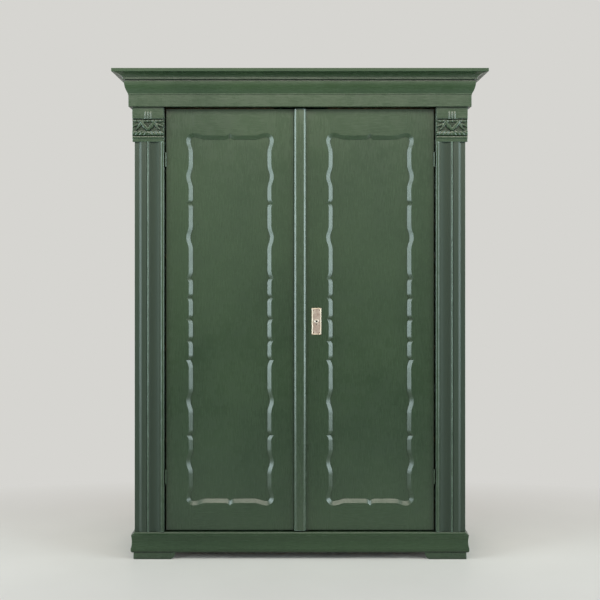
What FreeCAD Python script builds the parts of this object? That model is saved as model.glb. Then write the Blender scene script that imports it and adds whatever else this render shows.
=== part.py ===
import FreeCAD, Part
import math
import os

import Sketcher
from FreeCAD import Placement, Rotation, Vector

# A two-door linen cupboard on a moulded plinth.  +Z is up, the doors face -Y and +X is to the
# right of someone who stands in front of it.  The origin is on the floor, in the middle of the
# cupboard's overall width and depth.  All sizes are in millimetres.

doc = FreeCAD.newDocument("linen_cupboard")
sheet = doc.addObject("Spreadsheet::Sheet", "Sizes")

DRIVING_SIZES = (
    # carcass
    ("carcass_wide", 1274, "over the outer faces of the two corner posts"),
    ("carcass_deep", 500, "from the face of the doors to the back of the cupboard"),
    ("post_wide", 115, "corner post beside the doors"),
    ("post_thick", 26, "corner posts, head rail and bottom rail"),
    ("side_thick", 20, "framed sides"),
    ("side_stile_wide", 85, "upright of a framed side"),
    ("side_rail_tall", 95, "cross piece of a framed side"),
    ("side_panel_thick", 8, "panel in a framed side"),
    ("side_panel_inset", 6, "from the outer face of the side frame back to its panel"),
    ("side_groove_deep", 9, "groove for the side panels"),
    ("back_thick", 12, "boards of the back"),
    ("board_thick", 18, "bottom board and ceiling board"),
    ("head_rail_tall", 24, "rail above the doors"),
    ("stop_drop", 12, "door stop, below the head rail"),
    ("stop_thick", 18, "door stop, front to back"),
    ("stop_gap", 0.3, "between a closed door and its stop"),
    # feet and plinth
    ("foot_tall", 27, "from the floor to the plinth"),
    ("foot_long", 162, "along the front"),
    ("foot_deep", 90, "front to back"),
    ("foot_side_out", 3, "beyond the face of the corner post"),
    ("foot_front_out", 20, "in front of the doors"),
    ("foot_slope", 18, "how far the inner end runs back towards the floor"),
    ("foot_curve", 34, "radius of the hollow at the inner end"),
    ("plinth_tall", 76.5, "from the feet to the foot of the posts"),
    ("plinth_flare_tall", 9.5, "hollow at the top of the plinth"),
    ("plinth_flare_out", 11.4, "reach of that hollow"),
    ("plinth_waist_tall", 45, "height of the narrowest line of the plinth"),
    ("plinth_waist_in", 2.6, "from the flare's edge back to that line"),
    ("plinth_bulge_tall", 15, "height of the fullest line of the plinth"),
    ("plinth_bulge_out", 12.8, "reach of that line"),
    ("plinth_toe_in", 5, "rounding below the fullest line"),
    ("plinth_flare_curve", 16, "radius of the hollow at the top"),
    ("plinth_body_curve", 180, "radius of the slack hollow above the narrowest line"),
    ("plinth_bulge_curve", 90, "radius of the hollow that runs out to the fullest line"),
    ("plinth_toe_curve", 14, "radius of the rounding below the fullest line"),
    ("bottom_board_drop", 20, "bottom board below the top of the plinth"),
    ("ledge_side", 18, "square ledges under the bottom board"),
    # pilasters and capitals
    ("pilaster_thick", 14, "applied board on the corner post"),
    ("pilaster_edge_thick", 8, "its flat outer fillet"),
    ("pilaster_fillet_wide", 18, "width of the outer fillet"),
    ("pilaster_round_wide", 15, "quarter round beside the fillet"),
    ("pilaster_flat_wide", 14, "flat up to the quirk"),
    ("pilaster_quirk_wide", 4, "narrow groove beside the flute"),
    ("pilaster_quirk_deep", 2.5, "depth of that groove"),
    ("pilaster_arris_wide", 4, "arris between quirk and flute"),
    ("pilaster_flute_wide", 40, "wide flute"),
    ("pilaster_flute_deep", 6, "depth of the flute at its middle"),
    ("pilaster_bead_round", 9, "rounding of the edge beside the door"),
    ("capital_tall", 133, "from the pilaster to the frieze"),
    ("capital_out", 7, "beyond the side of the corner post"),
    ("capital_block_tall", 44.5, "plain block at the top"),
    ("capital_block_thick", 23, "block, proud of the post"),
    ("capital_bell_tall", 46.5, "ground of the carved band"),
    ("capital_bell_thick", 17, "ground of the carved band, proud of the post"),
    ("capital_rope_tall", 19, "torus below the carved band"),
    ("capital_rope_root", 18, "root of the torus, proud of the post"),
    ("capital_rope_curve", 10.5, "radius of the torus"),
    ("capital_bead_tall", 12, "bead below the torus"),
    ("capital_bead_root", 16.5, "root of the bead, proud of the post"),
    ("capital_bead_curve", 7, "radius of the bead"),
    ("capital_neck_thick", 16, "neck on top of the pilaster, proud of the post"),
    # cornice
    ("frieze_tall", 126, "frieze boards, up to the cap"),
    ("frieze_out", 20, "beyond the pilasters and the sides"),
    ("frieze_plain_tall", 46, "bare height below the cornice moulding"),
    ("cornice_foot_tall", 4, "fillet at the foot of the moulding"),
    ("cornice_foot_out", 2, "reach of that fillet"),
    ("ovolo_tall", 46, "long quarter round"),
    ("ovolo_out", 15, "its reach from the frieze"),
    ("ovolo_curve", 84, "its radius"),
    ("quirk_tall", 6, "groove above the quarter round"),
    ("quirk_out", 11, "bottom of that groove, from the frieze"),
    ("listel_tall", 8, "flat band under the hollow"),
    ("listel_out", 19, "its reach from the frieze"),
    ("cove_curve", 50, "radius of the hollow under the cap"),
    ("cap_thick", 12, "cap board"),
    ("cap_out", 56, "cap board beyond the frieze"),
    ("cap_lip", 2, "cap board beyond the hollow"),
    # doors
    ("door_thick", 26, "stiles and rails"),
    ("door_tall", 1624, "height of a door"),
    ("door_gap_low", 4.5, "under the doors"),
    ("door_gap_top", 6, "above the doors"),
    ("door_gap_side", 6, "between a door and its post, where the knuckles stand"),
    ("door_gap_middle", 1.6, "between the doors, along the left edge of the strip"),
    ("panel_thick", 8, "door panel"),
    ("panel_sunk", 10.5, "from the face of the door frame to the panel"),
    ("panel_slack", 1.5, "room for the panel to swell in its groove"),
    ("groove_deep", 20, "groove for the door panel"),
    ("tenon_long", 45, "tenons of the door rails"),
    ("tenon_shoulder", 14, "from a rail's edge to its tenon"),
    ("tenon_haunch", 30, "from a rail's grooved edge to its tenon"),
    # scalloped moulding round the door panels
    ("moulding_hinge_in", 77, "outer line of the moulding from the hinged edge"),
    ("moulding_middle_out", 101.5, "outer line from the middle of the cupboard"),
    ("moulding_top_in", 92, "outer line from the top of the door"),
    ("moulding_low_in", 94, "outer line from the foot of the door"),
    ("moulding_wide", 15, "width of the moulding"),
    ("moulding_deep", 9, "depth of the moulding"),
    ("frame_lip", 2.5, "stile or rail beyond the moulding, behind the panel's face"),
    ("scallop_deep", 9.5, "depth of the scallops"),
    ("corner_round", 29, "radius of the moulding's corners"),
    ("cusp_flank", 19, "length of a cusp's flank"),
    ("slow_flank", 32, "long flank of the third cusp"),
    ("wave_flank", 46, "half length of a soft wave"),
    ("step_second", 83, "from the cusp at the middle of a long side to the second cusp"),
    ("step_third", 75, "on to the third cusp"),
    ("step_wave", 157, "on to the first soft wave"),
    ("step_fourth", 133, "on to the fourth cusp"),
    ("step_last", 102, "on to the last soft wave"),
    ("step_corner", 139, "on to the start of the corner"),
    # meeting strip, escutcheon and lock
    ("strip_wide", 47, "strip between the doors"),
    ("strip_thick", 13, "proud of the doors"),
    ("strip_edge_thick", 5, "thickness at its edges"),
    ("strip_bevel_wide", 9, "rounded bevel along each edge"),
    ("strip_bevel_curve", 14, "radius of that bevel"),
    ("lock_high", 913, "keyhole above the floor"),
    ("keyhole_out", 63.5, "keyhole from the middle of the cupboard"),
    ("escutcheon_wide", 37, "key plate"),
    ("escutcheon_tall", 103, "key plate"),
    ("escutcheon_thick", 1.6, "key plate"),
    ("escutcheon_round", 3, "corners of the key plate"),
    ("key_bore", 7, "round part of the keyhole"),
    ("key_slot_wide", 3.4, "slot of the keyhole"),
    ("key_slot_long", 14, "slot of the keyhole, below its centre"),
    ("lock_wide", 115, "lock case"),
    ("lock_tall", 104, "lock case"),
    ("lock_thick", 17, "lock case"),
    ("lock_wall", 2, "lock case"),
    ("lock_edge_in", 2, "lock case from the edge of the right door"),
    ("bolt_nose", 1, "drawn bolt beyond the edge of the lock case"),
    ("bolt_tall", 30, "lock bolt"),
    ("bolt_thick", 7, "lock bolt"),
    ("bolt_long", 58, "lock bolt"),
    ("bolt_face_gap", 0.6, "between the lock bolt and the back of the doors"),
    ("slide_clear", 0.2, "round a sliding bolt"),
    ("keeper_wide", 22, "wear plate for the lock bolt"),
    ("keeper_tall", 60, "wear plate"),
    ("keeper_thick", 1.5, "wear plates"),
    # bolt and turn button of the left door
    ("latch_plate_wide", 34, "base plate of the door bolt"),
    ("latch_plate_tall", 96, "base plate"),
    ("latch_plate_thick", 1.5, "base plate"),
    ("latch_bar_wide", 16, "flat sliding bar"),
    ("latch_bar_thick", 6, "flat sliding bar"),
    ("latch_bar_long", 112, "flat sliding bar"),
    ("latch_strap_tall", 14, "straps that guide the bar"),
    ("latch_strap_thick", 1.8, "straps"),
    ("latch_strap_in", 10, "straps from the ends of the plate"),
    ("latch_edge_in", 46, "middle of the bolt and of the turn button from the left door's edge"),
    ("latch_end_in", 14, "plate from the top of the door"),
    ("latch_bar_in", 5, "bar from the top of the door, at rest"),
    ("latch_knob_diameter", 11, "knob on the bar"),
    ("latch_knob_long", 9, "knob on the bar"),
    ("latch_keeper_wide", 40, "wear plate behind the head rail"),
    ("latch_keeper_tall", 20, "wear plate"),
    ("latch_keeper_thick", 1.2, "wear plate"),
    ("button_long", 80, "turn button at the foot of the left door"),
    ("button_wide", 18, "turn button"),
    ("button_thick", 11, "turn button"),
    ("button_high", 24, "its screw above the foot of the door"),
    ("button_gap", 0.6, "between the button and the back of the door"),
    ("button_play", 0.4, "between the button and the head of its screw"),
    ("screw_diameter", 5, "screw that the button turns on"),
    ("screw_fit", 0.05, "radial clearance of the button on its screw"),
    ("screw_deep", 14, "screw in the door"),
    ("screw_head_diameter", 11, "head of the screw"),
    ("screw_head_tall", 2.5, "head of the screw"),
    # hinges
    ("hinge_tall", 55, "both knuckles of a lift-off hinge"),
    ("knuckle_diameter", 8, "knuckle"),
    ("knuckle_proud", 4.5, "middle of the knuckle in front of the doors"),
    ("knuckle_clear", 1, "round the knuckle"),
    ("knuckle_washer", 0.3, "running gap between the knuckles"),
    ("pin_core", 4.4, "hinge pin"),
    ("pin_short", 5.5, "top of the hinge pin below the top of the upper knuckle"),
    ("pin_fit", 0.05, "radial clearance of the pin in the upper knuckle"),
    ("leaf_deep", 24, "hinge leaf, let into the edge"),
    ("leaf_thick", 2, "hinge leaf"),
    ("hinge_top_in", 195, "middle of the upper hinge from the top of the door"),
    ("hinge_low_in", 206, "middle of the lower hinge from the foot of the door"),
    # fittings inside
    ("rack_wide", 20, "toothed rack, from the side inwards"),
    ("rack_deep", 30, "toothed rack, front to back"),
    ("rack_front_in", 62, "front racks, behind the face of the doors"),
    ("rack_back_in", 20, "back racks, in front of the back boards"),
    ("tooth_pitch", 60, "from tooth to tooth"),
    ("tooth_deep", 12, "depth of the teeth"),
    ("tooth_first", 150, "first tooth above the bottom board"),
    ("tooth_tip", 6, "flat tip between two teeth"),
    ("tooth_end", 90, "plain length at the top of a rack"),
    ("bearer_wide", 34, "shelf bearer, from the side inwards"),
    ("bearer_tall", 22, "shelf bearer"),
    ("bearer_slack", 0.3, "between a bearer and the teeth"),
    ("shelf_thick", 18, "shelf"),
    ("shelf_slack", 1, "between a shelf and the racks"),
    ("shelf_front_in", 58, "shelf behind the face of the doors"),
    ("shelf_back_gap", 3, "shelf in front of the back boards"),
)

SHELF_TEETH = (3, 9, 15, 21)
BACK_BOARD_COUNT = 8
SAME_POINT = 1e-6


class Size:
    """A length that knows its number and the sheet formula that gives it."""

    def __init__(self, number, formula):
        self.number = number
        self.formula = formula

    def __add__(self, other):
        other = as_size(other)
        return Size(self.number + other.number, f"({self.formula} + {other.formula})")

    def __sub__(self, other):
        other = as_size(other)
        return Size(self.number - other.number, f"({self.formula} - {other.formula})")

    def __mul__(self, factor):
        return Size(self.number * factor, f"({self.formula} * {factor})")

    def __truediv__(self, divisor):
        return Size(self.number / divisor, f"({self.formula} / {divisor})")

    def __neg__(self):
        return Size(-self.number, f"(0 - {self.formula})")


def as_size(value):
    return value if isinstance(value, Size) else Size(value, str(value))


class Sizes:
    """The driving sizes, by name."""


def fill_sheet():
    sizes = Sizes()
    for row, (name, number, meaning) in enumerate(DRIVING_SIZES, start=1):
        sheet.set(f"A{row}", meaning)
        sheet.set(f"B{row}", str(number))
        sheet.setAlias(f"B{row}", name)
        setattr(sizes, name, Size(number, f"Sizes.{name}"))
    doc.recompute()
    return sizes


s = fill_sheet()


def bind(feature, **properties):
    for name, size in properties.items():
        path = name.replace("__", ".")
        feature.setExpression(path, as_size(size).formula)


def mirrored(span, side):
    """A span of x on the right of the cupboard, or its mirror image on the left."""
    low, high = span
    return span if side == "right" else (-as_size(high), -as_size(low))


def block(name, x, y, z):
    """A squared piece of wood or metal between two planes each way."""
    piece = doc.addObject("Part::Box", name)
    piece.Label = name
    bind(piece, Length=as_size(x[1]) - x[0], Width=as_size(y[1]) - y[0], Height=as_size(z[1]) - z[0],
         Placement__Base__x=x[0], Placement__Base__y=y[0], Placement__Base__z=z[0])
    return piece


def rod(name, diameter, length, base, axis=Vector(0, 0, 1)):
    """A round piece that starts at its base and runs along an axis."""
    piece = doc.addObject("Part::Cylinder", name)
    piece.Label = name
    piece.Placement = Placement(Vector(), Rotation(Vector(0, 0, 1), axis))
    bind(piece, Radius=as_size(diameter) / 2, Height=length,
         Placement__Base__x=base[0], Placement__Base__y=base[1], Placement__Base__z=base[2])
    return piece


def cut(name, base, tools):
    """The base less its tools, which are joined first when there are several."""
    piece = doc.addObject("Part::Cut", name)
    piece.Label = name
    piece.Base = base
    piece.Tool = tools[0] if len(tools) == 1 else fuse(name + "_tools", tools)
    return piece


def fuse(name, shapes):
    piece = doc.addObject("Part::MultiFuse", name)
    piece.Label = name
    piece.Shapes = shapes
    return piece


def common(name, base, tool):
    piece = doc.addObject("Part::Common", name)
    piece.Label = name
    piece.Base = base
    piece.Tool = tool
    return piece


def group(name, pieces):
    """Like pieces that share one node and stay separate solids."""
    node = doc.addObject("Part::Compound", name)
    node.Label = name
    node.Links = pieces
    return node


def radius_over(chord, rise):
    """Radius of the arc that stands this high over its chord."""
    half = chord / 2
    return Size((half.number ** 2 + rise.number ** 2) / (rise.number * 2),
                f"(({half.formula})^2 + ({rise.formula})^2) / ({rise.formula} * 2)")


def arc_centre(start, end, radius, turn):
    """Centre of the shorter arc; turn is +1 when the arc bends to the left, -1 to the right."""
    chord = end - start
    half = chord.Length / 2
    rise = math.sqrt(max(radius * radius - half * half, 0))
    left = Vector(-chord.y, chord.x, 0).normalize()
    return (start + end) * 0.5 + left * (turn * rise)


def draw_outline(sketch, corners):
    """Draws a closed outline whose corners are bound to the sheet.

    A corner is (u, v) when a straight edge leaves it, or (u, v, radius, turn) when an arc does.
    """
    points = [Vector(as_size(c[0]).number, as_size(c[1]).number, 0) for c in corners]
    starts, ends = [], []
    for index, corner in enumerate(corners):
        start, end = points[index], points[(index + 1) % len(points)]
        if len(corner) == 2:
            edge = sketch.addGeometry(Part.LineSegment(start, end), False)
            starts.append((edge, 1))
            ends.append((edge, 2))
            continue
        radius, turn = as_size(corner[2]), corner[3]
        centre = arc_centre(start, end, radius.number, turn)
        first, last = (start, end) if turn > 0 else (end, start)
        angles = [math.atan2(p.y - centre.y, p.x - centre.x) for p in (first, last)]
        circle = Part.Circle(centre, Vector(0, 0, 1), radius.number)
        edge = sketch.addGeometry(Part.ArcOfCircle(circle, *angles), False)
        starts.append((edge, 1 if turn > 0 else 2))
        ends.append((edge, 2 if turn > 0 else 1))
        place = sketch.addConstraint(Sketcher.Constraint("Radius", edge, radius.number))
        sketch.setExpression(f"Constraints[{place}]", radius.formula)
    for index, corner in enumerate(corners):
        sketch.addConstraint(Sketcher.Constraint("Coincident", *ends[index - 1], *starts[index]))
        for kind, size in (("DistanceX", corner[0]), ("DistanceY", corner[1])):
            size = as_size(size)
            rule = Sketcher.Constraint(kind, -1, 1, *starts[index], size.number)
            place = sketch.addConstraint(rule)
            sketch.setExpression(f"Constraints[{place}]", size.formula)


def origin_plane(body, role):
    return next(plane for plane in body.Origin.OriginFeatures if plane.Role == role)


def padded(name, role, corners, length, place):
    """A body padded from an outline on one of its own origin planes, then put in its place."""
    body = doc.addObject("PartDesign::Body", name)
    body.Label = name
    sketch = body.newObject("Sketcher::SketchObject", name + "_outline")
    sketch.AttachmentSupport = [(origin_plane(body, role), "")]
    sketch.MapMode = "FlatFace"
    draw_outline(sketch, corners)
    pad = body.newObject("PartDesign::Pad", name + "_pad")
    pad.Profile = sketch
    bind(pad, Length=length)
    bind(body, Placement__Base__x=place[0], Placement__Base__y=place[1], Placement__Base__z=place[2])
    return body


# ---------------------------------------------------------------------------------------------
# Planes that the pieces share.  y_face is the front of the doors and of the corner posts.

half_carcass = s.carcass_wide / 2
half_opening = half_carcass - s.post_wide
cornice_front_out = s.pilaster_thick + s.frieze_out + s.cap_out
y_face = (cornice_front_out - s.carcass_deep) / 2
y_back = y_face + s.carcass_deep
y_door_back = y_face + s.door_thick
y_post_back = y_face + s.post_thick
y_back_boards = y_back - s.back_thick

z_plinth_top = s.foot_tall + s.plinth_tall
z_door_low = z_plinth_top + s.door_gap_low
z_door_top = z_door_low + s.door_tall
z_frieze_low = z_door_top + s.door_gap_top
z_carcass_top = z_frieze_low + s.head_rail_tall
z_cap_low = z_frieze_low + s.frieze_tall
z_bottom_board_top = z_plinth_top - s.bottom_board_drop
z_capital_low = z_frieze_low - s.capital_tall

x_side_inner = half_carcass - s.side_thick
x_frieze = half_carcass + s.frieze_out
y_frieze = y_face - s.pilaster_thick - s.frieze_out
x_hinge_edge = half_opening - s.door_gap_side
x_right_edge = -(s.strip_wide / 2)
x_left_edge = x_right_edge - s.door_gap_middle
x_hinge_axis = half_opening - s.door_gap_side / 2
y_hinge_axis = y_face - s.knuckle_proud

nodes = []


# ---------------------------------------------------------------------------------------------
# Feet: four flat blocks whose inner ends are hollowed back towards the floor.

def make_feet():
    outer = half_carcass + s.foot_side_out
    inner = outer - s.foot_long
    fronts = {"front": y_face - s.foot_front_out, "back": y_back - s.foot_deep}
    for row, y_low in fronts.items():
        for side in ("left", "right"):
            name = f"foot_{row}_{side}"
            if side == "right":
                corners = [(outer, 0), (outer, s.foot_tall), (inner, s.foot_tall, s.foot_curve, 1),
                           (inner + s.foot_slope, 0)]
            else:
                corners = [(-outer, 0), (-inner - s.foot_slope, 0, s.foot_curve, 1),
                           (-inner, s.foot_tall), (-outer, s.foot_tall)]
            nodes.append(padded(name, "XZ_Plane", corners, s.foot_deep, (0, y_low + s.foot_deep, 0)))


# ---------------------------------------------------------------------------------------------
# Plinth: moulded boards mitred at the front corners, with a plain board across the back.

def plinth_profile(out_of, depth, hollow):
    """Corners of the moulding's section: out_of turns a reach from the carcass into x or y.

    The arcs bend one way where the section is hollow and the other way at its rounded toe.
    """
    low = s.foot_tall
    waist = s.plinth_flare_out - s.plinth_waist_in
    return [
        (out_of(-depth), low),
        (out_of(-depth), low + s.plinth_tall),
        (out_of(as_size(0)), low + s.plinth_tall, s.plinth_flare_curve, hollow),
        (out_of(s.plinth_flare_out), low + s.plinth_tall - s.plinth_flare_tall,
         s.plinth_body_curve, hollow),
        (out_of(waist), low + s.plinth_waist_tall, s.plinth_bulge_curve, hollow),
        (out_of(s.plinth_bulge_out), low + s.plinth_bulge_tall, s.plinth_toe_curve, -hollow),
        (out_of(s.plinth_bulge_out - s.plinth_toe_in), low),
    ]


def extrusion(name, plane_turn, corners, start, along, length):
    """A moulding run: a section in the YZ or XZ plane, run along x or y from its start."""
    sketch = doc.addObject("Sketcher::SketchObject", name + "_section")
    sketch.Placement = Placement(Vector(), plane_turn)
    draw_outline(sketch, corners)
    run = doc.addObject("Part::Extrusion", name + "_run")
    run.Base = sketch
    run.DirMode = "Custom"
    run.Dir = along
    run.Solid = True
    bind(run, LengthFwd=length)
    axis = "x" if along.x else "y" if along.y else "z"
    run.setExpression(f"Placement.Base.{axis}", as_size(start).formula)
    return run


# A section drawn as (y, z) or as (x, z), and a plan drawn as (x, y).
SECTION_YZ = Rotation(Vector(0, 1, 0), Vector(0, 0, 1), Vector(1, 0, 0), "XYZ")
SECTION_XZ = Rotation(Vector(1, 0, 0), Vector(0, 0, 1), Vector(0, -1, 0), "XYZ")
PLAN_XY = Rotation()


def mitred_front(name, corner_x, corner_y, reach, depth, z_low, tall, section):
    """A front moulding: its section run across and sawn at 45 degrees at both ends."""
    run = extrusion(name, SECTION_YZ, section, -(corner_x + reach), Vector(1, 0, 0),
                    (corner_x + reach) * 2)
    y_out = corner_y - reach
    plan = [(-(corner_x + reach), y_out), (corner_x + reach, y_out),
            (corner_x - depth, corner_y + depth), (-(corner_x - depth), corner_y + depth)]
    saw = extrusion(name + "_mitres", PLAN_XY, plan, z_low, Vector(0, 0, 1), tall)
    return common(name, run, saw)


def mitred_side(name, side, corner_x, corner_y, reach, depth, z_low, tall, section):
    """A side moulding: its section run to the back and sawn at 45 degrees at the front."""
    y_out = corner_y - reach
    run = extrusion(name, SECTION_XZ, section, y_out, Vector(0, 1, 0), y_back - y_out)
    if side == "right":
        plan = [(corner_x - depth, corner_y + depth), (corner_x + reach, y_out),
                (corner_x + reach, y_back), (corner_x - depth, y_back)]
    else:
        plan = [(-(corner_x - depth), corner_y + depth), (-(corner_x - depth), y_back),
                (-(corner_x + reach), y_back), (-(corner_x + reach), y_out)]
    saw = extrusion(name + "_mitre", PLAN_XY, plan, z_low, Vector(0, 0, 1), tall)
    return common(name, run, saw)


def make_plinth():
    y_corner = y_face - s.pilaster_thick
    front = plinth_profile(lambda out: y_corner - out, s.pilaster_thick, -1)
    reach = s.plinth_bulge_out
    nodes.append(mitred_front("plinth_front", half_carcass, y_corner, reach, s.pilaster_thick,
                              s.foot_tall, s.plinth_tall, front))
    for side in ("left", "right"):
        sign = 1 if side == "right" else -1
        out_of = (lambda out: half_carcass + out) if sign > 0 else (lambda out: -(half_carcass + out))
        section = plinth_profile(out_of, s.side_thick, sign)
        nodes.append(mitred_side(f"plinth_{side}", side, half_carcass, y_corner, reach, s.side_thick,
                                 s.foot_tall, s.plinth_tall, section))
    nodes.append(block("plinth_back", (-x_side_inner, x_side_inner), (y_back - s.post_thick, y_back),
                       (s.foot_tall, z_plinth_top)))


# ---------------------------------------------------------------------------------------------
# Carcass: corner posts and rails in the plane of the doors, framed sides, back, bottom, ceiling.

def make_front_frame():
    z_low = z_plinth_top
    for side in ("left", "right"):
        post = block(f"post_{side}_blank", mirrored((half_opening, half_carcass), side),
                     (y_face, y_post_back), (z_low, z_carcass_top))
        nodes.append(cut(f"post_{side}", post, leaf_beds(side, "post")))
    nodes.append(block("head_rail", (-half_opening, half_opening), (y_face, y_post_back),
                       (z_frieze_low, z_carcass_top)))
    nodes.append(block("bottom_rail", (-x_side_inner, x_side_inner), (y_face, y_post_back),
                       (s.foot_tall, z_plinth_top)))
    z_stop = (z_frieze_low - s.stop_drop, z_carcass_top)
    y_stop = (y_door_back + s.stop_gap, y_door_back + s.stop_gap + s.stop_thick)
    room = s.latch_plate_wide - latch_middle()
    stops = [block("door_stop_left", (-half_opening, -room), y_stop, z_stop),
             block("door_stop_right", (room, half_opening), y_stop, z_stop)]
    nodes.append(group("door_stops", stops))


def make_sides():
    y_low, y_high = y_post_back, y_back_boards
    z_low, z_high = z_plinth_top, z_carcass_top
    z_middle = (z_low + z_high) / 2
    panel_low = half_carcass - s.side_panel_inset - s.side_panel_thick
    panel_x = (panel_low, panel_low + s.side_panel_thick)
    groove = s.side_groove_deep
    rails = [(z_low, z_low + s.side_rail_tall),
             (z_middle - s.side_rail_tall / 2, z_middle + s.side_rail_tall / 2),
             (z_high - s.side_rail_tall, z_high)]
    panels = []
    for side in ("left", "right"):
        x_frame = mirrored((x_side_inner, half_carcass), side)
        x_panel = mirrored(panel_x, side)
        y_inner = (y_low + s.side_stile_wide, y_high - s.side_stile_wide)
        y_panel = (y_inner[0] - groove, y_inner[1] + groove)
        frame = []
        for count in (0, 1):
            z_panel = (rails[count][1] - groove, rails[count + 1][0] + groove)
            panels.append(block(f"side_panel_{side}_{count}", x_panel, y_panel, z_panel))
        grooves = [block(f"side_groove_{side}_{count}", x_panel, y_panel,
                         (rails[count][1] - groove, rails[count + 1][0] + groove)) for count in (0, 1)]
        for place, y_span in (("front", (y_low, y_inner[0])), ("back", (y_inner[1], y_high))):
            stile = block(f"side_stile_{side}_{place}_blank", x_frame, y_span, (z_low, z_high))
            frame.append(cut(f"side_stile_{side}_{place}", stile, [fuse(
                f"side_stile_{side}_{place}_grooves", grooves)]))
        for count, z_span in enumerate(rails):
            rail = block(f"side_rail_{side}_{count}_blank", x_frame, y_inner, z_span)
            near = grooves[:1] if count == 0 else grooves[1:] if count == 2 else grooves
            frame.append(cut(f"side_rail_{side}_{count}", rail, list(near)))
        nodes.append(group(f"side_frame_{side}", frame))
    nodes.append(group("side_panels", panels))


def make_boards():
    nodes.append(block("bottom_board", (-x_side_inner, x_side_inner), (y_post_back, y_back - s.post_thick),
                       (z_bottom_board_top - s.board_thick, z_bottom_board_top)))
    z_ledge = z_bottom_board_top - s.board_thick
    ledges = []
    for side in ("left", "right"):
        x_ledge = mirrored((x_side_inner - s.ledge_side, x_side_inner), side)
        ledges.append(block(f"bottom_ledge_{side}", x_ledge, (y_post_back, y_back - s.post_thick),
                            (z_ledge - s.ledge_side, z_ledge)))
    nodes.append(group("bottom_ledges", ledges))
    nodes.append(block("ceiling_board", (-half_carcass, half_carcass), (y_face, y_back),
                       (z_carcass_top, z_carcass_top + s.board_thick)))
    wide = s.carcass_wide / BACK_BOARD_COUNT
    boards = [block(f"back_board_{count}", (wide * count - half_carcass, wide * (count + 1) - half_carcass),
                    (y_back_boards, y_back), (z_plinth_top, z_carcass_top))
              for count in range(BACK_BOARD_COUNT)]
    nodes.append(group("back_boards", boards))


# ---------------------------------------------------------------------------------------------
# Pilasters: applied boards with a fillet, a quarter round, a quirk and one wide flute.

def pilaster_section(side):
    """The section as (x, y): from the outer edge of the post to the edge beside the door."""
    sign = 1 if side == "right" else -1
    wide = half_carcass - (x_hinge_axis + s.knuckle_diameter / 2 + s.knuckle_clear)
    at_round = s.pilaster_fillet_wide
    at_flat = at_round + s.pilaster_round_wide
    at_quirk = at_flat + s.pilaster_flat_wide
    at_arris = at_quirk + s.pilaster_quirk_wide
    at_flute = at_arris + s.pilaster_arris_wide
    flute_end = at_flute + s.pilaster_flute_wide
    thick = s.pilaster_thick
    floor = thick - s.pilaster_quirk_deep
    flute_curve = radius_over(s.pilaster_flute_wide, s.pilaster_flute_deep)
    bead = s.pilaster_bead_round
    trail = [
        (as_size(0), as_size(0)),
        (as_size(0), s.pilaster_edge_thick),
        (at_round, s.pilaster_edge_thick, s.pilaster_round_wide, -1),
        (at_flat, thick),
        (at_quirk, thick),
        (at_quirk, floor),
        (at_arris, floor),
        (at_arris, thick),
        (at_flute, thick, flute_curve, 1),
        (flute_end, thick),
        (wide - bead, thick, bead, -1),
        (wide, thick - bead),
        (wide, as_size(0)),
    ]
    corners = []
    for point in trail:
        x = half_carcass - point[0]
        x = x if sign > 0 else -x
        corner = (x, y_face - point[1])
        if len(point) == 4:
            corner += (point[2], point[3] * sign)
        corners.append(corner)
    return corners


def make_pilasters():
    for side in ("left", "right"):
        tall = z_capital_low - z_plinth_top
        nodes.append(padded(f"pilaster_{side}", "XY_Plane", pilaster_section(side), tall,
                            (0, 0, z_plinth_top)))


# ---------------------------------------------------------------------------------------------
# Capitals: a block, the ground of the carved band, a torus, a bead and a neck, in one piece.

def make_capitals():
    y_of = lambda thick: y_face - thick
    z_bead = z_capital_low + (s.capital_tall - s.capital_block_tall - s.capital_bell_tall
                              - s.capital_rope_tall - s.capital_bead_tall)
    z_rope = z_bead + s.capital_bead_tall
    z_bell = z_rope + s.capital_rope_tall
    z_block = z_bell + s.capital_bell_tall
    corners = [
        (y_of(as_size(0)), z_capital_low),
        (y_of(as_size(0)), z_frieze_low),
        (y_of(s.capital_block_thick), z_frieze_low),
        (y_of(s.capital_block_thick), z_block),
        (y_of(s.capital_bell_thick), z_block),
        (y_of(s.capital_bell_thick), z_bell),
        (y_of(s.capital_rope_root), z_bell, s.capital_rope_curve, 1),
        (y_of(s.capital_rope_root), z_rope),
        (y_of(s.capital_bead_root), z_rope, s.capital_bead_curve, 1),
        (y_of(s.capital_bead_root), z_bead),
        (y_of(s.capital_neck_thick), z_bead),
        (y_of(s.capital_neck_thick), z_capital_low),
    ]
    inner = x_hinge_axis + s.knuckle_diameter / 2 + s.knuckle_clear
    outer = half_carcass + s.capital_out
    for side in ("left", "right"):
        x_low = inner if side == "right" else -outer
        nodes.append(padded(f"capital_{side}", "YZ_Plane", corners, outer - inner, (x_low, 0, 0)))


# ---------------------------------------------------------------------------------------------
# Cornice: frieze boards, mitred mouldings and a cap board.

def cornice_section(out_of, round_turn):
    """The moulding's section: out_of turns a reach from the frieze into x or y."""
    z_foot = z_frieze_low + s.frieze_plain_tall
    z_ovolo = z_foot + s.cornice_foot_tall
    z_quirk = z_ovolo + s.ovolo_tall
    z_listel = z_quirk + s.quirk_tall
    z_cove = z_listel + s.listel_tall
    return [
        (out_of(as_size(0)), z_foot),
        (out_of(s.cornice_foot_out), z_foot),
        (out_of(s.cornice_foot_out), z_ovolo, s.ovolo_curve, round_turn),
        (out_of(s.ovolo_out), z_quirk),
        (out_of(s.quirk_out), z_quirk),
        (out_of(s.quirk_out), z_listel),
        (out_of(s.listel_out), z_listel),
        (out_of(s.listel_out), z_cove, s.cove_curve, -round_turn),
        (out_of(s.cap_out - s.cap_lip), z_cap_low),
        (out_of(as_size(0)), z_cap_low),
    ]


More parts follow.
